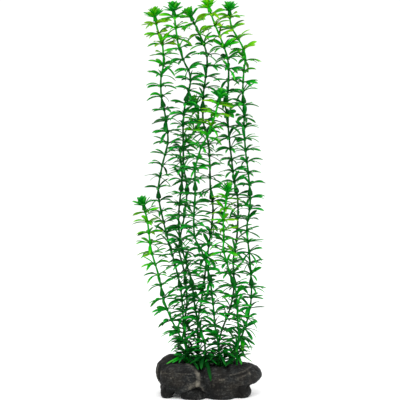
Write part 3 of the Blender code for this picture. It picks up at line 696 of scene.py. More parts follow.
def lay_out():
    """Every crown and sprig with its strand and its leaves, by node name."""
    room = Room()
    crowns, sprigs, turns = {}, {}, {}
    for number, strand in enumerate(STRANDS.values()):
        top = strand["rims"][0] * MM
        for step in range(int((top - PEG_BOTTOM) / STEM_SAMPLE) + 1):
            point = route_point(strand["route"], PEG_BOTTOM + step * STEM_SAMPLE)
            in_bell = any(-STEM_SAMPLE < point.z - rim * MM < BELL_HEIGHT for rim in strand["rims"])
            room.add(np.array([(*point, BELL_ROOM if in_bell else STEM_ROOM)]), number, STEM_MARK)
    mark = 0
    for number, (name, strand) in enumerate(STRANDS.items()):
        rings, turns[name] = lay_out_crown(room, strand, number, mark)
        crowns[name + "_crown"] = {"strand_name": name, "strand": strand, "rings": rings}
        mark += 1
    for number, (name, strand) in enumerate(STRANDS.items()):
        chance = random.Random(SPRIG_SEED + number)
        for sprig in range(len(strand["rims"])):
            whorls = lay_out_sprig(room, strand, number, sprig, turns[name][sprig] + BAND_STEP, mark, chance)
            mark += len(whorls)
            sprigs[f"{name}_sprig_{sprig + 1}"] = {"strand_name": name, "number": number, "strand": strand,
                                                   "sprig": sprig, "whorls": whorls}
    return crowns, sprigs, room


def count_leaves():
    """The number of leaves on all sprigs so far."""
    return sum(len(whorl["leaves"]) for piece in sprigs.values() for whorl in piece["whorls"])


crowns, sprigs, room = lay_out()
print(f"{len(crowns)} crowns and {len(sprigs)} sprigs with {count_leaves()} leaves")

# %% [markdown]
# ## Filling the whorls
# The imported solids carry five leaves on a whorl, to stay light. The real whorls are fuller, and more steep
# leaves crowd the hollow of the rock and hide where the stems go in. These leaves are only in the fine
# model: three more on each whorl, four where the growth under a crown is young, and two more whorls at each
# foot. They go into the gaps between the others, by the same rule, and are left out where they don't fit.

# %% Draw the leaves between
BETWEEN_STEPS = (0.5, 2.5, 3.5)
YOUNG_STEPS = (0.5, 1.5, 2.5, 3.5)
YOUNG_REACH = 36.0 * MM
BETWEEN_SEED = 700
BETWEEN_TURN_SPREAD = 10.0
BETWEEN_RISE = (2.0, 34.0)
BETWEEN_DROOP = (6.0, 26.0)
BETWEEN_REACH = (11.2 * MM, 12.5 * MM)
BETWEEN_SLIMNESS = 0.45
FOOT_DROPS = (4.6 * MM, 9.0 * MM)
FOOT_LEAVES = 5
FOOT_RISE = (14.0, 62.0)
FOOT_MARK = 5000
FOOT_ROCK_ROOM = 0.1 * MM
BOX_MARGIN = 0.5 * MM


def inside_box(point):
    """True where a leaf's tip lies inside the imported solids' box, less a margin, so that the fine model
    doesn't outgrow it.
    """
    return all(low + BOX_MARGIN < value < high - BOX_MARGIN
               for low, value, high in zip(cad_box[0], point, cad_box[1]))


def draw_between(room, place, number, mark, turns, rises, chance, rock_room):
    """Leaves at the given turns round a whorl, each with its own chance, as far as they fit."""
    leaves = []
    for turn in turns:
        own_turn = turn + chance.uniform(-BETWEEN_TURN_SPREAD, BETWEEN_TURN_SPREAD)
        rise, droop = chance.uniform(*rises), chance.uniform(*BETWEEN_DROOP)
        reach, roll = chance.uniform(*BETWEEN_REACH), chance.uniform(-LEAF_ROLL, LEAF_ROLL)
        drawn = (own_turn, rise, droop, reach, roll, chance.choice((-1.0, 1.0)))
        leaf = place_leaf(room, place, mark, number, drawn, rock_room, BETWEEN_SLIMNESS)
        if leaf and inside_box(leaf.tip):
            leaves.append(leaf)
    return leaves


def fill_whorls():
    """Three or four more leaves on every whorl and two more whorls at the foot of each strand."""
    for name, piece in sprigs.items():
        strand, number = piece["strand"], piece["number"]
        chance = random.Random(f"{BETWEEN_SEED} {name}")
        for whorl in piece["whorls"]:
            place = route_frame(strand["route"], whorl["height"])
            is_young = whorl["height"] > strand["rims"][0] * MM - YOUNG_REACH
            steps = YOUNG_STEPS if is_young else BETWEEN_STEPS
            turns = [whorl["turn"] + LEAF_STEP * step for step in steps]
            whorl["leaves"] += draw_between(room, place, number, whorl["mark"], turns, BETWEEN_RISE, chance,
                                            ROCK_ROOM)
        if piece["sprig"] == len(strand["rims"]) - 1:
            lowest = piece["whorls"][-1]
            for drop in FOOT_DROPS:
                height = lowest["height"] - drop
                place = route_frame(strand["route"], height)
                first = chance.uniform(0.0, 360.0)
                turns = [first + 360.0 * step / FOOT_LEAVES for step in range(FOOT_LEAVES)]
                mark = FOOT_MARK + 10 * number + FOOT_DROPS.index(drop)
                leaves = draw_between(room, place, number, mark, turns, FOOT_RISE, chance, FOOT_ROCK_ROOM)
                piece["whorls"].append({"height": height, "turn": first, "mark": mark, "leaves": leaves})


fill_whorls()
print(f"{count_leaves()} leaves after filling the whorls")

# %% [markdown]
# ## Leaves over the rim
# Some of the lowest leaves lie out over the front rim of the rock, one long dark leaf hangs down its front,
# and a few low ones reach far out to the sides. They belong to the lowest sprigs, like the others, but
# where they lie is seen so clearly in the photograph that each is stated by itself.

# %% Lay the leaves over the rim: start, a point on the way, tip and half width in mm, and how much painted shade darkens each (below 0, a younger and brighter green)
RIM_LEAVES = {
    "tall_2_sprig_4": {
        "long_hanging": ((-2.5, -11.5, 29.5), (-0.4, -19.6, 25.4), (1.8, -23.0, 14.8), 1.5, 0.88),
        "notch_middle": ((-2.5, -11.5, 33.0), (-5.2, -15.6, 28.4), (-5.4, -18.8, 22.8), 1.5, 0.75),
        "notch_cross": ((-2.5, -11.5, 31.0), (-8.6, -14.6, 30.2), (-14.4, -16.6, 26.4), 1.4, 0.6),
        "centre": ((-2.5, -11.5, 34.0), (1.6, -14.6, 30.2), (6.4, -17.6, 26.6), 1.3, 0.62),
    },
    "tall_1_sprig_4": {
        "left_light": ((-16.6, 0.1, 33.0), (-24.0, -10.5, 29.6), (-31.6, -14.6, 26.4), 1.4, -0.25),
        "left_light_low": ((-16.6, 0.1, 31.5), (-22.0, -10.0, 29.4), (-27.2, -15.6, 27.4), 1.2, 0.0),
    },
    "short_1_sprig_2": {
        "left_short": ((-16.0, -9.0, 34.0), (-19.6, -13.6, 31.2), (-22.4, -16.4, 27.4), 1.1, 0.45),
        "notch_dark": ((-16.0, -9.0, 32.0), (-11.0, -14.6, 27.8), (-7.6, -19.2, 22.8), 1.5, 0.75),
        "left_far": ((-23.0, -9.8, 50.0), (-30.0, -11.0, 50.0), (-36.0, -11.5, 46.4), 1.0, 0.0),
        "left_far_low": ((-20.4, -9.5, 45.0), (-26.0, -11.0, 45.2), (-31.0, -12.0, 41.8), 1.1, 0.0),
        "left_far_foot": ((-18.6, -9.2, 41.0), (-24.0, -12.0, 39.8), (-28.8, -13.5, 35.0), 1.0, -0.1),
    },
    "middle_2_sprig_3": {
        "centre_cross": ((8.0, -7.5, 35.0), (2.6, -13.4, 32.6), (-2.8, -17.4, 28.2), 1.4, 0.5),
        "right_centre": ((8.0, -7.5, 34.0), (10.6, -13.6, 30.4), (12.6, -17.2, 26.0), 1.3, 0.65),
        "right_level": ((8.0, -7.5, 37.0), (14.4, -12.6, 34.6), (20.6, -15.4, 31.2), 1.5, 0.3),
    },
    "short_2_sprig_2": {
        "right_dark": ((21.5, -7.0, 33.0), (17.0, -14.0, 29.2), (12.6, -18.2, 25.0), 1.5, 0.75),
    },
    "tall_5_sprig_4": {
        "right_light": ((20.0, 4.5, 33.0), (23.2, -1.6, 29.6), (25.0, -7.6, 24.6), 1.2, -0.15),
        "nose_light": ((20.0, 4.5, 32.5), (27.0, 2.6, 29.2), (33.2, 0.6, 25.4), 1.1, -0.25),
        "right_far": ((27.6, 2.2, 50.5), (33.0, 1.5, 49.2), (36.4, 1.0, 43.4), 1.1, -0.1),
        "right_far_low": ((24.8, 3.2, 43.5), (30.4, 2.0, 41.2), (33.4, 1.0, 33.4), 1.0, 0.1),
        "right_hanging": ((25.0, 3.0, 44.5), (26.2, -3.0, 42.0), (25.4, -6.4, 34.0), 1.6, -0.45),
    },
}


def aim_blade(start, passing, tip, half_width):
    """A leaf laid through three stated points, its face upwards."""
    start, passing, tip = (Vector(point) * MM for point in (start, passing, tip))
    side = (tip - start).cross(Vector((0.0, 0.0, 1.0))).normalized()
    return SimpleNamespace(start=start, middle=passing, tip=tip, side=side, roll=0.0,
                           half_width=half_width * MM)


print(f"{sum(len(leaves) for leaves in RIM_LEAVES.values())} leaves over the rim and low at the sides")

# %% [markdown]
# ## A leaf blade
# A moulded leaf is a narrow strap, cupped along its length, widest past its middle and blunt at the tip.
# One template serves all: a six-sided bar, cut across into rings. Each leaf is a copy of it whose rings are
# moved onto the leaf's own arch, which passes through its middle and ends at its tip. Six points round each
# ring are enough for two edges, a hollow upper face and a rounded lower one, and keep a leaf to a few dozen
# faces, since there are about two thousand of them.

# %% Cut the template
BLADE_RINGS = 7
BLADE_SIDES = 6


def cut_blade_template():
    """A six-sided bar along Z from 0 to 1, its edges at X -1 and 1, cut into rings."""
    bm = bmesh.new()
    bmesh.ops.create_cone(bm, cap_ends=True, segments=BLADE_SIDES, radius1=1.0, radius2=1.0, depth=1.0)
    bmesh.ops.rotate(bm, verts=bm.verts[:], cent=(0.0, 0.0, 0.0),
                     matrix=Matrix.Rotation(math.radians(90.0), 3, "Z"))
    bmesh.ops.translate(bm, verts=bm.verts[:], vec=(0.0, 0.0, 0.5))
    long = [edge for edge in bm.edges if abs(edge.verts[0].co.z - edge.verts[1].co.z) > 0.5]
    bmesh.ops.subdivide_edges(bm, edges=long, cuts=BLADE_RINGS - 1, use_grid_fill=True)
    mesh = bpy.data.meshes.new("blade_template")
    bm.to_mesh(mesh)
    bm.free()
    return mesh


blade_template = cut_blade_template()
print(f"blade template: {len(blade_template.vertices)} points, {len(blade_template.polygons)} faces")

# %% Shape of a blade along its length
ROOT_SHARE = 0.05
ROOT_WIDTH = 0.52
WIDEST = 0.55
TIP_WIDTH = 0.16
TIP_SHARPNESS = 3.2
ARCH_SHARE = 0.72
ROLL_AT_ROOT = 0.6
BREADTHS = ((20.0 * MM, 1.10), (60.0 * MM, 0.96), (110.0 * MM, 0.94), (180.0 * MM, 0.80), (215.0 * MM, 1.24),
            (235.0 * MM, 0.84), (265.0 * MM, 1.08), (300.0 * MM, 1.26))
BREADTH_SPREAD = 0.26
BLADE_THICKNESS = 0.62 * MM
TIP_THINNING = 0.45
CUP = 0.32
RING_EASE = 0.85
# Painted shade towards a leaf's root, fading out over this share of its length.
ROOT_DEPTH = 0.66
ROOT_DEPTH_REACH = 0.42


def blade_width(share):
    """Half width of a blade as a part of its widest, at a share of its length."""
    if share < WIDEST:
        t = share / WIDEST
        return ROOT_WIDTH + (1.0 - ROOT_WIDTH) * t * t * (3.0 - 2.0 * t)
    t = (share - WIDEST) / (1.0 - WIDEST)
    return TIP_WIDTH + (1.0 - TIP_WIDTH) * (1.0 - t ** TIP_SHARPNESS)


def breadth(height):
    """Low and young leaves are broad and those between them slender, as a factor on a leaf's width."""
    return float(np.interp(height, *zip(*BREADTHS)))


def arch(leaf, share):
    """Point and direction on the arch from a leaf's start through its middle to its tip."""
    bend = 2.0 * LEAF_MIDDLE * (1.0 - LEAF_MIDDLE)
    middle = leaf.start.lerp(leaf.tip, LEAF_MIDDLE).lerp(leaf.middle, ARCH_SHARE)
    control = (middle - leaf.start * (1.0 - LEAF_MIDDLE) ** 2 - leaf.tip * LEAF_MIDDLE ** 2) / bend
    point = (leaf.start * (1.0 - share) ** 2 + control * 2.0 * share * (1.0 - share) + leaf.tip * share ** 2)
    along = (control - leaf.start) * (1.0 - share) + (leaf.tip - control) * share
    return point, along.normalized()


def add_blade(bm, leaf, youth, dye, twist, shade, width, root_depth=ROOT_DEPTH):
    """Copy the template into a moulding and lay it on a leaf's arch."""
    first = len(bm.verts)
    bm.from_mesh(blade_template)
    bm.verts.ensure_lookup_table()
    layers = [bm.verts.layers.float[name] for name in LEAF_ATTRIBUTES]
    places = {}
    for vert in bm.verts[first:]:
        across, lift, share = vert.co
        share = round(max(0.0, share) ** RING_EASE, 4)
        if share not in places:
            point, along = arch(leaf, ROOT_SHARE + (1.0 - ROOT_SHARE) * share)
            lean = leaf.roll * (ROLL_AT_ROOT + (1.0 - ROLL_AT_ROOT) * share / LEAF_MIDDLE) + twist * share
            normal = along.cross(leaf.side).normalized()
            if normal.z < 0.0:
                normal.negate()
            flat = normal.cross(along).normalized()
            if flat.dot(leaf.side) < 0.0:
                flat.negate()
            turned = flat * math.cos(lean) + normal * math.sin(lean)
            upright = normal * math.cos(lean) - flat * math.sin(lean)
            places[share] = point, turned, upright
        point, turned, upright = places[share]
        half = width * leaf.half_width * blade_width(share)
        cup = CUP * half * across * across
        thick = 0.5 * BLADE_THICKNESS * (1.0 - TIP_THINNING * share)
        vert.co = point + turned * across * half + upright * (cup + lift * thick)
        # Painted shade: the leaf's own shade, or more near its root in the middle of the whorl.
        deep = max(shade, root_depth * max(0.0, 1.0 - share / ROOT_DEPTH_REACH))
        for layer, value in zip(layers, (youth, dye, share, across, deep)):
            vert[layer] = value


print(f"a blade is widest at {WIDEST:.0%} of its length and {BLADE_THICKNESS / MM:.2f} mm thick at its root")

# %% [markdown]
# ## Stems, bells and pins
# A sprig's stem is one turned rod with everything on it: a bell-shaped socket with a real hollow at its
# foot, a slight swelling at every whorl, and a pin at the top that stands in the hollow of the next bell. A
# disc is extruded ring by ring along the strand's route, starting inside the bell's hollow, so the hollow,
# the rim, the outside and the pin are one closed skin.

# %% Rings of a stem; the rows of rings are rise and radius in mm
STEM_SIDES = 8
STEM_ABOVE = 0.84 * MM
STEM_BELOW = 0.64 * MM
SWELL_RADIUS = 1.12 * MM
SWELL_REACH = 1.1 * MM
SWELL_FLAT = 0.4
PIN_RISE = 1.9 * MM
PIN_RADIUS = 0.75 * MM
PIN_RINGS = ((0.3, 1.0), (0.8, 1.0), (1.0, 0.6))
STEM_PITCH = 2.4 * MM
BELL_RINGS = ((2.3, 1.0), (0.9, 1.2), (0.1, 1.35), (0.0, 1.5), (0.25, 1.78), (0.9, 1.97), (1.8, 2.0),
              (2.8, 1.75), (4.0, 1.35), (5.2, 1.02), (6.2, 0.85))
PEG_RINGS = ((0.0, 0.7), (0.4, 0.82))
STEM_DYE = 0.5
BELL_DEPTH = 0.92


def sprig_rings(piece):
    """Height and radius of each ring of a sprig's stem, from the foot to the pin."""
    route, rims = piece["strand"]["route"], piece["strand"]["rims"]
    is_foot = piece["sprig"] == len(rims) - 1
    foot = PEG_BOTTOM if is_foot else rims[piece["sprig"] + 1] * MM
    rings = [(foot + rise * MM, radius * MM) for rise, radius in (PEG_RINGS if is_foot else BELL_RINGS)]
    for whorl in reversed(piece["whorls"]):
        start = rings[-1][0]
        rise = whorl["height"] - SWELL_REACH - start
        steps = max(1, round(rise / STEM_PITCH))
        rings += [(start + rise * k / steps, STEM_ABOVE + (STEM_BELOW - STEM_ABOVE) * k / steps)
                  for k in range(1, steps + 1)]
        rings += [(whorl["height"] - SWELL_FLAT * SWELL_REACH, SWELL_RADIUS),
                  (whorl["height"] + SWELL_FLAT * SWELL_REACH, SWELL_RADIUS),
                  (whorl["height"] + SWELL_REACH, STEM_ABOVE)]
    rim = rims[piece["sprig"]] * MM
    return rings + [(rim + rise * PIN_RISE, radius * PIN_RADIUS) for rise, radius in PIN_RINGS]


def add_stem(bm, route, rings, youth_at, bell_top, stem_depth):
    """Extrude a disc along a strand's route, ring by ring, from its foot to its top."""
    made = bmesh.ops.create_cone(bm, cap_ends=True, segments=STEM_SIDES, radius1=1.0, radius2=1.0, depth=1.0)
    caps = {face for vert in made["verts"] for face in vert.link_faces if len(face.verts) == STEM_SIDES}
    foot, cap = sorted(caps, key=lambda face: face.calc_center_median().z)
    youth_layer = bm.verts.layers.float["youth"]
    dye_layer = bm.verts.layers.float["dye"]
    deep_layer = bm.verts.layers.float["deep"]
    matching = {}
    for vert in cap.verts:
        matching[vert] = next(edge.other_vert(vert) for edge in vert.link_edges
                              if edge.other_vert(vert) in foot.verts)
    for index, (height, radius) in enumerate(rings):
        place = route_frame(route, height)
        if index > 1:
            cap = bmesh.ops.extrude_discrete_faces(bm, faces=[cap])["faces"][0]
        corners = [matching[vert] for vert in cap.verts] if index == 0 else list(cap.verts)
        for side, vert in enumerate(corners):
            vert.co = place[0] + outward(place, 360.0 * side / STEM_SIDES) * radius
            vert[youth_layer] = youth_at(height)
            vert[dye_layer] = STEM_DYE
            depth = BELL_DEPTH if height < bell_top else stem_depth
            vert[deep_layer] = depth * (1.0 - youth_at(height))


def start_moulding():
    """An empty mesh with the attributes that the green plastic reads."""
    bm = bmesh.new()
    for name in LEAF_ATTRIBUTES:
        bm.verts.layers.float.new(name)
    return bm


def finish_piece(bm, name, node, material):
    """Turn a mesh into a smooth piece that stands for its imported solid."""
    bmesh.ops.recalc_face_normals(bm, faces=bm.faces[:])
    for face in bm.faces:
        face.smooth = True
    mesh = bpy.data.meshes.new(name)
    bm.to_mesh(mesh)
    bm.free()
    mesh.materials.append(material)
    piece = bpy.data.objects.new(name, mesh)
    bpy.context.scene.collection.objects.link(piece)
    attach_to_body(piece, "root")
    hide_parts(node)
    return piece


print(f"a bell has {len(BELL_RINGS)} rings")

# %% [markdown]
# ## Sprigs
# A sprig is its stem and the blades of its whorls. The growth just under a crown is yellowish green, for a
# length that differs from strand to strand, and below it turns to the deep green of the lower plant. Stems
# are darker than the leaves they carry, each strand's by its own amount, and every leaf differs a little.
# Leaves also twist towards their tips, so that some show their face and others only their edge.

# %% Mould the sprigs
GROWTH = {
    "tall_1": {"crown": 0.62, "young": 0.95, "length": 34.0 * MM, "stem": 0.56},
    "tall_2": {"crown": 0.40, "young": 0.86, "length": 24.0 * MM, "stem": 0.88},
    "tall_3": {"crown": 0.50, "young": 0.74, "length": 20.0 * MM, "stem": 0.90},
    "tall_4": {"crown": 0.76, "young": 0.92, "length": 28.0 * MM, "stem": 0.82},
    "tall_5": {"crown": 0.42, "young": 0.88, "length": 46.0 * MM, "stem": 0.58},
    "middle_1": {"crown": 0.62, "young": 0.78, "length": 24.0 * MM, "stem": 0.70},
    "middle_2": {"crown": 0.30, "young": 0.90, "length": 30.0 * MM, "stem": 0.52},
    "short_1": {"crown": 0.34, "young": 0.82, "length": 48.0 * MM, "stem": 0.44},
    "short_2": {"crown": 0.44, "young": 0.84, "length": 48.0 * MM, "stem": 0.34},
}
OLD_YOUTH = 0.16
YOUTH_FALL = 4
STEM_YOUTH_SHARE = 0.74
LEAF_TWIST = math.radians(14.0)
# Painted shade: a few leaves at random, as inside the bunch, and low leaves down in the hollow of the rock.
LEAF_SHADE = 0.80
LEAF_SHADE_POWER = 3
FOOT_SHADE = 0.62
FOOT_SHADE_FROM = 26.0 * MM
FOOT_SHADE_TO = 54.0 * MM
RIM_YOUTH = 0.30
RIM_YOUTH_SHARE = 0.7
RIM_DYE = 0.5
DYE_SEED = 900


def youth_of(strand, growth, share=1.0):
    """A function that says how young a strand looks at a height; stems reach only a share of that."""
    top = strand["rims"][0] * MM
    young = growth["young"] * share

    def youth_at(height):
        below = max(0.0, top - height) / growth["length"]
        return OLD_YOUTH + (young - OLD_YOUTH) / (1.0 + below ** YOUTH_FALL)

    return youth_at


def foot_shade(height):
    """How much painted shade darkens a leaf that lies down in the hollow of the rock."""
    return float(np.interp(height, (FOOT_SHADE_FROM, FOOT_SHADE_TO), (FOOT_SHADE, 0.0)))


def mould_sprig(name, piece, chance):
    """One sprig in place of its solid."""
    strand, growth = piece["strand"], GROWTH[piece["strand_name"]]
    leaf_youth = youth_of(strand, growth)
    stem_youth = youth_of(strand, growth, STEM_YOUTH_SHARE)
    rims_below = strand["rims"][piece["sprig"] + 1:]
    bell_top = rims_below[0] * MM + BELL_HEIGHT if rims_below else 0.0
    bm = start_moulding()
    add_stem(bm, strand["route"], sprig_rings(piece), stem_youth, bell_top, growth["stem"])
    for whorl in piece["whorls"]:
        for leaf in whorl["leaves"]:
            dye = chance.random()
            # Painted shade of this leaf: random, plus more when it lies low in the rock's hollow.
            shade = LEAF_SHADE * chance.random() ** LEAF_SHADE_POWER + foot_shade(leaf.tip.z)
            width = breadth(whorl["height"]) * chance.uniform(1.0 - BREADTH_SPREAD, 1.0 + BREADTH_SPREAD)
            twist = chance.uniform(-LEAF_TWIST, LEAF_TWIST)
            add_blade(bm, leaf, leaf_youth(whorl["height"]), dye, twist, shade, width)
    for start, passing, tip, half_width, darker in RIM_LEAVES.get(name, {}).values():
        leaf = aim_blade(start, passing, tip, half_width)
        # Painted shade: darker rim leaves are an older green and shaded; below 0 they are younger.
        add_blade(bm, leaf, RIM_YOUTH - darker * RIM_YOUTH_SHARE, RIM_DYE, 0.0, max(0.0, darker), 1.0)
    slot = "lower" if piece["sprig"] else "upper"
    return finish_piece(bm, name + "_moulding", name, greens[slot])


chance = random.Random(DYE_SEED)
mouldings = [mould_sprig(name, piece, chance) for name, piece in sprigs.items()]
print(f"{len(mouldings)} sprigs, {sum(len(piece.data.polygons) for piece in mouldings)} faces")

# %% [markdown]
# ## Crowns
# A crown is a little rosette on a dark collar that caps the top pin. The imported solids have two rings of
# leaves, one spreading and one steep. The fine model has a ring between them and a bud in the middle. The
# outer leaves are a little darker, and all turn their faces this way and that.

# %% Mould the crowns
COLLAR_RINGS = ((2.3, 1.0), (0.9, 1.25), (0.1, 1.4), (0.0, 1.6), (0.15, 1.8), (0.8, 1.75), (1.8, 1.5),
                (2.7, 1.35), (3.9, 1.3), (5.0, 0.85), (5.6, 0.4))
COLLAR_DEPTH_TOP = 3.0 * MM
CROWN_MIDDLE = {"leaves": 6, "rise": 46.0, "reach": 9.9 * MM, "base": 2.2 * MM, "width": 1.25 * MM}
CROWN_BUD = {"leaves": 5, "rise": 79.0, "reach": 8.6 * MM, "base": 2.6 * MM, "width": 1.35 * MM}
RING_TURN_SPREAD = 12.0
RING_LEAST_REACH = 0.88
CROWN_SIDE_AGE = 0.14
CROWN_BUD_AGE = -0.06
CROWN_ROLL = 30.0
# Painted shade on crown leaves: a little at random, more towards their roots.
CROWN_SHADE = 0.18
CROWN_ROOT_DEPTH = 0.40
CROWN_BREADTH = 1.12
CROWN_TWIST = math.radians(16.0)


def draw_ring(strand, ring, chance):
    """One more ring of leaves round a crown."""
    place = route_frame(strand["route"], strand["rims"][0] * MM + ring["base"])
    leaves = []
    for step in range(ring["leaves"]):
        turn = 360.0 * step / ring["leaves"] + chance.uniform(-RING_TURN_SPREAD, RING_TURN_SPREAD)
        rise = ring["rise"] + chance.uniform(-CROWN_RISE_SPREAD, CROWN_RISE_SPREAD)
        reach = ring["reach"] * chance.uniform(RING_LEAST_REACH, 1.0)
        leaves.append(Leaf(place, turn, rise, CROWN_DROOP, reach, ring["width"], 0.0, 1.0))
    return leaves


def mould_crown(name, piece, chance):
    """One crown in place of its solid."""
    strand, growth = piece["strand"], GROWTH[piece["strand_name"]]
    rim = strand["rims"][0] * MM
    youth = growth["crown"]
    bm = start_moulding()
    add_stem(bm, strand["route"], [(rim + rise * MM, radius * MM) for rise, radius in COLLAR_RINGS],
             lambda height: youth, rim + COLLAR_DEPTH_TOP, growth["stem"])
    sides, steep = piece["rings"]
    middle, bud = (draw_ring(strand, ring, chance) for ring in (CROWN_MIDDLE, CROWN_BUD))
    for leaves, age in ((sides, CROWN_SIDE_AGE), (steep, 0.0), (middle, 0.0), (bud, CROWN_BUD_AGE)):
        for leaf in leaves:
            leaf.roll = math.radians(chance.uniform(-CROWN_ROLL, CROWN_ROLL))
            add_blade(bm, leaf, youth - age, chance.random(), chance.uniform(-CROWN_TWIST, CROWN_TWIST),
                      CROWN_SHADE * chance.random(), CROWN_BREADTH, CROWN_ROOT_DEPTH)
    return finish_piece(bm, name + "_moulding", name, greens["crown"])


rosettes = [mould_crown(name, piece, chance) for name, piece in crowns.items()]
print(f"{len(rosettes)} crowns, {sum(len(piece.data.polygons) for piece in rosettes)} faces")

# %% [markdown]
# ## Resin rock
# The base is cast in a dark resin, rough like weathered stone. Broad cloudy patches run from bluish grey to
# brown grey, with paler specks and streaks and dark grain, and hollows and grooves are painted nearly black
# as shade. How raised a point is, and where the ridge is rubbed pale and a groove is painted dark as shade,
# comes with the mesh as two attributes, since the shader can't see it.

# %% Mix the resin
# Painted shade in hollows and grooves goes towards this colour, as does the dark grain.
ROCK_DARK = (0.0015, 0.0015, 0.0013, 1.0)
ROCK_GREY = (0.0066, 0.0066, 0.0060, 1.0)
ROCK_BLUE = (0.0061, 0.0077, 0.0088, 1.0)
ROCK_BROWN = (0.0155, 0.0124, 0.0090, 1.0)
ROCK_SPECK = (0.0400, 0.0400, 0.0360, 1.0)
ROCK_PALE = (0.1200, 0.1100, 0.0880, 1.0)
BROAD_NOISE = {"scale": 60.0, "detail": 2.0}
PATCH_NOISE = {"scale": 170.0, "detail": 4.0}
STREAK_NOISE = {"scale": 420.0, "detail": 5.0, "roughness": 0.65}
GRAIN_NOISE = {"scale": 850.0, "detail": 5.0, "roughness": 0.7}
STREAK_STRETCH = (0.45, 1.0, 1.7)
BLUE_RANGE = (0.38, 0.64)
BROWN_RANGE = (0.50, 0.68)
BROWN_SHARE = 0.75
GRAIN_RANGE = (0.42, 0.64)
STREAK_RANGE = (0.40, 0.64)
SPECK_PARTS = {"grain": 0.5, "streak": 0.4, "patch": 0.5, "relief": 0.14}
SPECK_RANGE = (0.30, 1.05)
SPECK_SHARE = 0.8
PALE_GRAIN = 0.9
PALE_RANGE = (0.18, 1.0)
# The shadow sum below is painted shade from relief and marks, mixed with random dark grain.
SHADOW_START = 0.58
SHADOW_PARTS = {"speckled": 0.5, "grain": 0.5, "relief": 0.20, "tint": 0.6}
SHADOW_RANGE = (-0.02, 0.40)
SHADOW_SHARE = 0.85
RESIN_ROUGHNESS = 0.50
RESIN_ROUGHNESS_SPREAD = 0.34
BUMP_PARTS = {"grain": 0.5, "streak": 0.6}
RESIN_BUMP = {"Strength": 0.8, "Distance": 0.6 * MM}


def mix_resin():
    """Matt dark resin that follows the rock's relief."""
    material, shader, start = start_material("rock_resin", {"IOR": 1.45, "Specular IOR Level": 0.14})
    place = start.node("ShaderNodeTexCoord", out=3)
    relief, tint = read_attribute(start, "relief"), read_attribute(start, "tint")
    stretched = start.node("ShaderNodeMapping", {}, {"Vector": place, "Scale": STREAK_STRETCH})
    broad = noise_at(start, place, **BROAD_NOISE)
    patch = noise_at(start, place, **PATCH_NOISE)
    streak = noise_at(start, stretched, **STREAK_NOISE)
    grain = noise_at(start, place, **GRAIN_NOISE)
    colour = patch.step(*BLUE_RANGE).blend(ROCK_GREY, ROCK_BLUE)
    colour = (broad.step(*BROWN_RANGE) * BROWN_SHARE).blend(colour, ROCK_BROWN)
    speckled = (grain.step(*GRAIN_RANGE) * SPECK_PARTS["grain"]
                + streak.step(*STREAK_RANGE) * SPECK_PARTS["streak"])
    speckled = (speckled + patch * SPECK_PARTS["patch"] - SPECK_PARTS["patch"] / 2
                + relief * SPECK_PARTS["relief"])
    colour = (speckled.step(*SPECK_RANGE) * SPECK_SHARE).blend(colour, ROCK_SPECK)
    rubbed = tint + grain * PALE_GRAIN - PALE_GRAIN / 2
    colour = rubbed.step(*PALE_RANGE).blend(colour, ROCK_PALE)
    # Painted shade: darker in low and sunk places and in the grooves and gaps marked dark, mixed with dark
    # grain.
    shadow = (SHADOW_START - speckled * SHADOW_PARTS["speckled"] - grain * SHADOW_PARTS["grain"]
              - relief * SHADOW_PARTS["relief"] - tint * SHADOW_PARTS["tint"])
    colour = (shadow.step(*SHADOW_RANGE) * SHADOW_SHARE).blend(colour, ROCK_DARK)
    attach(colour, shader, "Base Color")
    attach(RESIN_ROUGHNESS + grain * RESIN_ROUGHNESS_SPREAD, shader, "Roughness")
    height = grain * BUMP_PARTS["grain"] + streak * BUMP_PARTS["streak"]
    bump = start.node("ShaderNodeBump", {}, {**RESIN_BUMP, "Height": height})
    attach(bump, shader, "Normal")
    return material


resin = mix_resin()
print("resin mixed")

# %% [markdown]
# ## The rock
# The lobes are fused by a voxel remesh, which melts overlapping balls into one skin, and smoothed until the
# joints run out softly. Then every point is moved along its normal: cloudy noise for the weathering, and on
# the front the marks that give this rock its look, each a line with a width and a height, raised or sunk.
# They are a forked ridge like a root that fans out at its foot, the arch over the middle boulder, the rim of
# the round log end on the left and long shallow grains on the right. Last, the underside is cut flat, so
# that the rock stands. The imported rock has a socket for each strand. They are hidden under the leaves, so
# the fine rock is closed instead, and the strands' feet run into it.

# %% Fuse the lobes
ROCK_VOXEL = 0.75 * MM
ROCK_SMOOTHING = 14
ROCK_SMOOTHING_SHARE = 0.5
LOBE_RINGS = 20
LOBE_SEGMENTS = 32


def fuse_lobes():
    """The fused and smoothed lobes as a mesh."""
    bm = bmesh.new()
    for x, y, z, wide, deep, high, tilt in LOBES.values():
        made = bmesh.ops.create_uvsphere(bm, u_segments=LOBE_SEGMENTS, v_segments=LOBE_RINGS, radius=1.0)
        sideways, upwards = lobe_axes(tilt)
        for vert in made["verts"]:
            vert.co = (Vector((x, y, z)) + sideways * vert.co.x * wide + Vector((0.0, vert.co.y * deep, 0.0))
                       + upwards * vert.co.z * high) * MM
    mesh = bpy.data.meshes.new("lobes")
    bm.to_mesh(mesh)
    bm.free()
    lobes = bpy.data.objects.new("lobes", mesh)
    bpy.context.scene.collection.objects.link(lobes)
    fuse = lobes.modifiers.new("fuse", "REMESH")
    fuse.mode = "VOXEL"
    fuse.voxel_size = ROCK_VOXEL
    soften = lobes.modifiers.new("soften", "SMOOTH")
    soften.factor = ROCK_SMOOTHING_SHARE
    soften.iterations = ROCK_SMOOTHING
    fused = bpy.data.meshes.new_from_object(lobes.evaluated_get(bpy.context.evaluated_depsgraph_get()))
    bpy.data.objects.remove(lobes, do_unlink=True)
    return fused


fused_lobes = fuse_lobes()
print(f"fused lobes: {len(fused_lobes.vertices)} points")
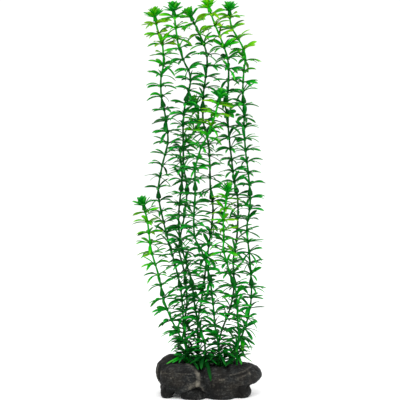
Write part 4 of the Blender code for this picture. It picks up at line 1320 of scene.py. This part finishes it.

# %% Marks on the front: points (across, height), half width and height in mm, and paleness; paleness below 0 is painted shade in a groove, gap, hollow or under an overhang
FRONT_MARKS = {
    "ridge_top": (((-16.3, 25.9), (-12.9, 24.6), (-10.2, 22.3), (-8.6, 19.2)), 1.5, 0.8, 0.42),
    "ridge_middle": (((-7.9, 19.2), (-7.4, 15.5), (-8.4, 12.4)), 1.9, 1.0, 0.52),
    "ridge_left": (((-8.6, 12.0), (-12.5, 10.9), (-15.5, 9.4), (-18.5, 7.5), (-21.5, 5.6), (-23.8, 4.4)),
                   1.5, 0.9, 0.38),
    "ridge_fan": (((-8.8, 14.6), (-11.6, 12.9), (-15.4, 11.8), (-18.6, 10.2)), 0.6, 0.35, 0.30),
    "ridge_fan_right": (((-7.6, 13.4), (-4.4, 11.6), (-1.8, 8.4)), 0.5, 0.3, 0.22),
    "ridge_right": (((-8.6, 12.0), (-4.9, 9.8), (-2.6, 6.7), (-1.5, 4.5)), 1.4, 0.7, 0.26),
    "skirt": (((-14.0, 9.0), (-7.9, 9.8), (-4.2, 7.5)), 1.8, 0.1, 0.30),
    "arch": (((-24.6, 4.1), (-20.0, 4.8), (-16.3, 6.3), (-12.5, 7.5), (-8.7, 7.6), (-4.9, 6.3), (-2.3, 3.7)),
             0.5, -0.8, -0.6),
    "boulder": (((-18.5, 2.9), (-7.9, 4.2)), 3.6, 0.2, -0.55),
    "seam": (((-33.6, 20.0), (-24.6, 20.2), (-12.0, 19.7)), 0.40, 0.30, 0.52),
    "over_seam": (((-22.0, 21.2), (-14.0, 20.8)), 0.5, -0.3, -0.3),
    "log_rim": (((-37.8, 24.9), (-38.9, 20.4), (-38.6, 15.8), (-36.7, 12.0)), 0.7, 0.2, 0.5),
    "log_line": (((-36.3, 24.2), (-37.0, 19.6), (-36.3, 14.3), (-34.4, 10.5)), 0.55, -0.6, -0.6),
    "left_foot_groove": (((-32.5, 10.5), (-33.3, 7.5), (-32.9, 5.2)), 0.6, -0.7, -0.7),
    "left_spot": (((-35.5, 20.2), (-35.2, 19.6)), 0.9, 0.2, 0.7),
    "left_patch": (((-29.0, 16.6), (-26.8, 17.6)), 1.2, 0.1, 0.45),
    "inner_patch": (((-16.0, 17.0), (-14.0, 14.6)), 1.5, 0.2, 0.38),
    "left_hollow": (((-19.3, 23.0), (-15.0, 22.4)), 1.3, -0.4, -0.20),
    "notch": (((-5.7, 23.5), (-4.4, 19.8)), 1.1, -0.5, -0.12),
    "valley": (((-4.5, 17.3), (-3.8, 11.3), (-2.6, 7.5)), 0.6, -0.35, -0.30),
    "upright_line": (((3.8, 12.8), (3.8, 9.8)), 0.5, 0.4, 0.45),
    "upright_gap_1": (((2.3, 13.5), (2.2, 9.8)), 0.4, -0.4, -0.5),
    "upright_gap_2": (((-1.8, 12.8), (-1.5, 8.3)), 0.45, -0.4, -0.5),
    "upright_gap_3": (((5.6, 12.5), (5.9, 8.0)), 0.45, -0.4, -0.4),
    "pale_patch": (((8.0, 15.4), (12.0, 15.8)), 1.0, 0.35, 0.55),
    "over_patch": (((4.9, 18.0), (15.5, 18.2)), 0.5, -0.3, -0.25),
    "streak_1": (((13.5, 18.4), (20.3, 19.6), (27.4, 21.4), (32.6, 23.2)), 0.8, 0.4, 0.42),
    "streak_2": (((20.8, 15.6), (30.4, 19.6)), 0.9, 0.35, 0.42),
    "streak_gap": (((17.0, 17.4), (28.1, 20.4)), 0.6, -0.4, -0.45),
    "nose_spot": (((31.0, 18.8), (31.8, 18.4)), 0.9, 0.1, 0.50),
    "overhang": (((23.8, 9.8), (30.6, 9.8)), 0.8, -0.8, -0.6),
    "overhang_edge": (((23.0, 11.3), (30.6, 11.7)), 0.8, 0.3, 0.35),
    "foot_face": (((24.6, 6.7), (30.6, 5.2)), 3.0, 0.0, -0.35),
    "foot_edge": (((23.4, 9.8), (22.7, 5.2), (25.3, 2.2)), 0.6, -0.9, -0.7),
    "dark_pocket": (((11.7, 25.7), (14.7, 22.7)), 1.5, -1.0, -0.35),
}
FRONT_DEPTH = -2.0 * MM
FRONT_FACING = 0.15
WEATHER = ((1.0, 75.0), (0.45, 210.0), (0.28, 520.0))


def line_distances(spots, points):
    """Distance of each spot from a line through points, seen from the front."""
    best = np.full(len(spots), np.inf)
    for first, last in zip(points, points[1:]):
        first, run = np.array(first), np.array(last) - np.array(first)
        share = np.clip((spots - first) @ run / (run @ run), 0.0, 1.0)
        best = np.minimum(best, np.linalg.norm(spots - first - share[:, None] * run, axis=1))
    return best


def mark_front(verts):
    """Height and paleness that the marks give to each point of the rock; paleness below 0 is painted shade.
    """
    spots = np.array([(vert.co.x / MM, vert.co.z / MM) for vert in verts])
    is_front = np.array([vert.co.y < FRONT_DEPTH and vert.normal.y < FRONT_FACING for vert in verts])
    heights, tints = np.zeros(len(verts)), np.zeros(len(verts))
    for points, width, height, tint in FRONT_MARKS.values():
        share = np.exp(-(line_distances(spots, points) / width) ** 2) * is_front
        heights += height * share
        tints += tint * share
    return heights, tints


def carve_rock(mesh):
    """Weather the fused lobes, carve the marks and cut the underside flat."""
    bm = bmesh.new()
    bm.from_mesh(mesh)
    bm.normal_update()
    relief_layer = bm.verts.layers.float.new("relief")
    tint_layer = bm.verts.layers.float.new("tint")
    heights, tints = mark_front(bm.verts[:])
    normals = [vert.normal.copy() for vert in bm.verts]
    for vert, normal, height, tint in zip(bm.verts, normals, heights, tints):
        weather = sum(size * noise.noise(vert.co * scale) for size, scale in WEATHER)
        vert.co += normal * (weather + height) * MM
        vert[relief_layer] = weather + height
        vert[tint_layer] = tint
    everything = bm.verts[:] + bm.edges[:] + bm.faces[:]
    bmesh.ops.bisect_plane(bm, geom=everything, plane_co=(0.0, 0.0, 0.0), plane_no=(0.0, 0.0, 1.0),
                           clear_inner=True)
    bmesh.ops.holes_fill(bm, edges=[edge for edge in bm.edges if edge.is_boundary])
    return bm


rock = finish_piece(carve_rock(fused_lobes), "rock_casting", "rock_base", resin)
low, high = np.array(rock.bound_box).min(axis=0), np.array(rock.bound_box).max(axis=0)
print("rock in mm:", (low / MM).round(1), (high / MM).round(1), len(rock.data.polygons), "faces")
